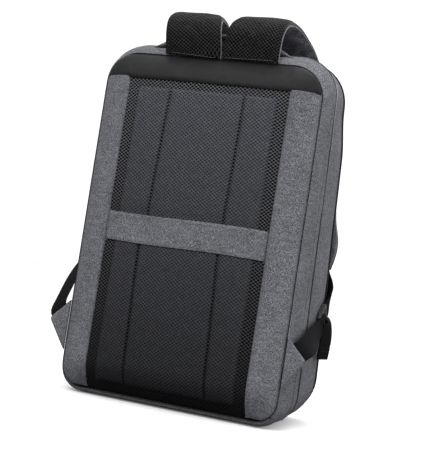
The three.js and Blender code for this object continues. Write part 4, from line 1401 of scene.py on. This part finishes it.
# x on the right side, z, width, thickness
ANCHOR = ((92.5, 450.8, 18, 2.4), (86, 453.2, 20, 4.0), (78, 456.2, 21, 6.6),
          (71, 459.6, 21, 8.4), (65.4, 461.8, 20, 8.2))


def build_handle():
    across = np.linspace(-1, 1, 15)
    stations = []
    for i in range(13):
        u = -1 + 2 * i / 12
        z = HANDLE_Z + HANDLE_ARCH * (1 - u * u)
        stations.append((u * HANDLE_HALF, HANDLE_Y, z, 20, 5.5, 0, 1, 0))

    def face(sign):
        def offset(v, i, thickness, along):
            crown = (thickness / 2 - 0.7) * (1 - abs(v) ** 4) ** 0.5
            return sign * (0.7 + crown + 0.25 * wobble(v * 2, along / 14.0, sign * 3.0))
        return offset

    handle = ribbon(stations, HANDLE_COUNT, face(-1), face(1), across)
    obj = make_ribbon("grab_handle", handle, "handle", GREY, "grey_fabric", "carry_handle")
    billow(obj, rim(handle.top.shape, ends=3, sides=2), cap=0.6)
    rows = [stitches(layer[3:-3, column], sign * handle.path.normal[HANDLE_COUNT // 2],
                     step=0.9, pitch=3.2, length=2.2, width=0.45)
            for layer, sign in ((handle.top, -1), (handle.bottom, 1)) for column in (2, 12)]
    sew("handle_stitching", rows, "handle", THREAD)

    for side, sign in SIDES:
        def bottom(v, i, thickness, along):
            return (thickness / 2) * (1 - 0.75 * abs(v) ** 5)

        def top(v, i, thickness, along):
            return -bottom(v, i, thickness, along) - 0.5 * wobble(v * 2, along / 9, 2.0 * sign)

        stations = [(sign * x, HANDLE_Y, z, width, thickness, 0, 1, 0)
                    for x, z, width, thickness in ANCHOR]
        make_ribbon("handle_anchor_" + side, ribbon(stations, 30, top, bottom, across),
                    "carcass", GREY, "grey_fabric", "handle_root_" + side)


# ---------------------------------------------------------------- hard parts of the frame
def ease_edges(name, material, width):
    """Paint a part of the frame and bevel its edges; width is in metres."""
    obj = paint(name, material)
    bevel = obj.modifiers.new("edge", "BEVEL")
    bevel.width = width
    bevel.segments = 3
    bevel.limit_method = "ANGLE"
    bevel.angle_limit = math.radians(40)
    obj.data.polygons.foreach_set("use_smooth", [True] * len(obj.data.polygons))
    obj.data.set_sharp_from_angle(angle=math.radians(50))


def finish_hard_parts():
    for side, _ in SIDES:
        ease_edges("ladder_lock_" + side, PLASTIC, width=0.0009)
        ease_edges("main_zip_slider_" + side, METAL, width=0.0009)
        ease_edges("main_zip_pull_" + side, PLASTIC, width=0.0006)
    ease_edges("pocket_zip_slider", METAL, width=0.0008)
    ease_edges("pocket_zip_pull", PLASTIC, width=0.0004)
    ease_edges("usb_outlet", RUBBER, width=0.0006)
    ease_edges("usb_flap", RUBBER, width=0.0005)


# ---------------------------------------------------------------- studio
def build_floor():
    half, z = 9, -0.0004
    mesh = bpy.data.meshes.new("floor")
    mesh.from_pydata([(-half, -half, z), (half, -half, z), (half, half, z), (-half, half, z)],
                     [], [(0, 1, 2, 3)])
    floor = bpy.data.objects.new("floor", mesh)
    bpy.context.scene.collection.objects.link(floor)
    surface = Surface("floor_pale")
    pale, dim = (0.9, 0.9, 0.9, 1), (0.16, 0.16, 0.16, 1)
    mesh.materials.append(surface.shade(color=pale, roughness=0.9, specular=0.0,
                                        emission=(1, 1, 1, 1)))
    # only the camera sees the floor pale and glowing; bounced light finds it dim
    camera_ray = surface.camera_ray()
    surface.shade(color=surface.mix(camera_ray, dim, pale), emission_strength=camera_ray * 0.13)


def build_world():
    world = bpy.data.worlds.new("studio")
    bpy.context.scene.world = world
    world.use_nodes = True
    graph = Graph(world.node_tree)
    color, strength = graph.tree.nodes["Background"].inputs[:2]
    graph.feed(color, (1, 1, 1, 1))
    # brighter where the camera sees it
    graph.feed(strength, graph.map_range(graph.camera_ray(), low=0.95, high=1.15))


def area_light(name, location, target, size, power):
    light = bpy.data.lights.new(name, "AREA")
    light.shape = "RECTANGLE"
    light.size, light.size_y = size
    light.energy = power
    obj = bpy.data.objects.new(name, light)
    bpy.context.scene.collection.objects.link(obj)
    obj.location = location
    aim = Vector(target) - Vector(location)
    obj.rotation_euler = aim.to_track_quat("-Z", "Y").to_euler()


def build_lights():
    area_light("key", location=(-0.1, -2.3, 2.0), target=(0, 0, 0.34), size=(1.5, 1.1),
               power=56)
    area_light("fill", location=(2.0, -0.55, 0.95), target=(0, 0, 0.26), size=(1.2, 1.4),
               power=14.5)
    area_light("top", location=(0.1, 0.3, 2.2), target=(0, 0, 0.3), size=(1.6, 1.2), power=16)
    area_light("front", location=(0.7, 2.2, 1.3), target=(0, 0, 0.25), size=(1.4, 1.1),
               power=14)


def build_camera():
    data = bpy.data.cameras.new("camera")
    data.sensor_width = 36
    data.sensor_fit = "AUTO"
    data.lens = 78.81
    data.clip_start = 0.01
    camera = bpy.data.objects.new("camera", data)
    bpy.context.scene.collection.objects.link(camera)
    location = Vector((0.409042, -1.143414 - ORIGIN_Y / 1000, 0.175690))
    rotation = Matrix(((0.940819, -0.128957, 0.313416),
                       (0.303317, -0.092157, -0.948423),
                       (0.151189, 0.987359, -0.047588)))
    camera.matrix_world = Matrix.Translation(location) @ rotation.to_4x4()
    bpy.context.scene.camera = camera
    bpy.context.scene.view_settings.view_transform = "Standard"


build_foam_pads()
build_back_mesh()
for side, sign in SIDES:
    build_side_strip(side, sign)
build_top_band()
build_luggage_strap()
build_seam_cords()
build_gussets()
build_main_zip()
build_front_pocket()
build_solar_panel()
build_pocket_zip()
for side, sign in SIDES:
    build_shoulder_strap(side, sign)
build_handle()
finish_hard_parts()
build_floor()
build_world()
build_lights()
build_camera()
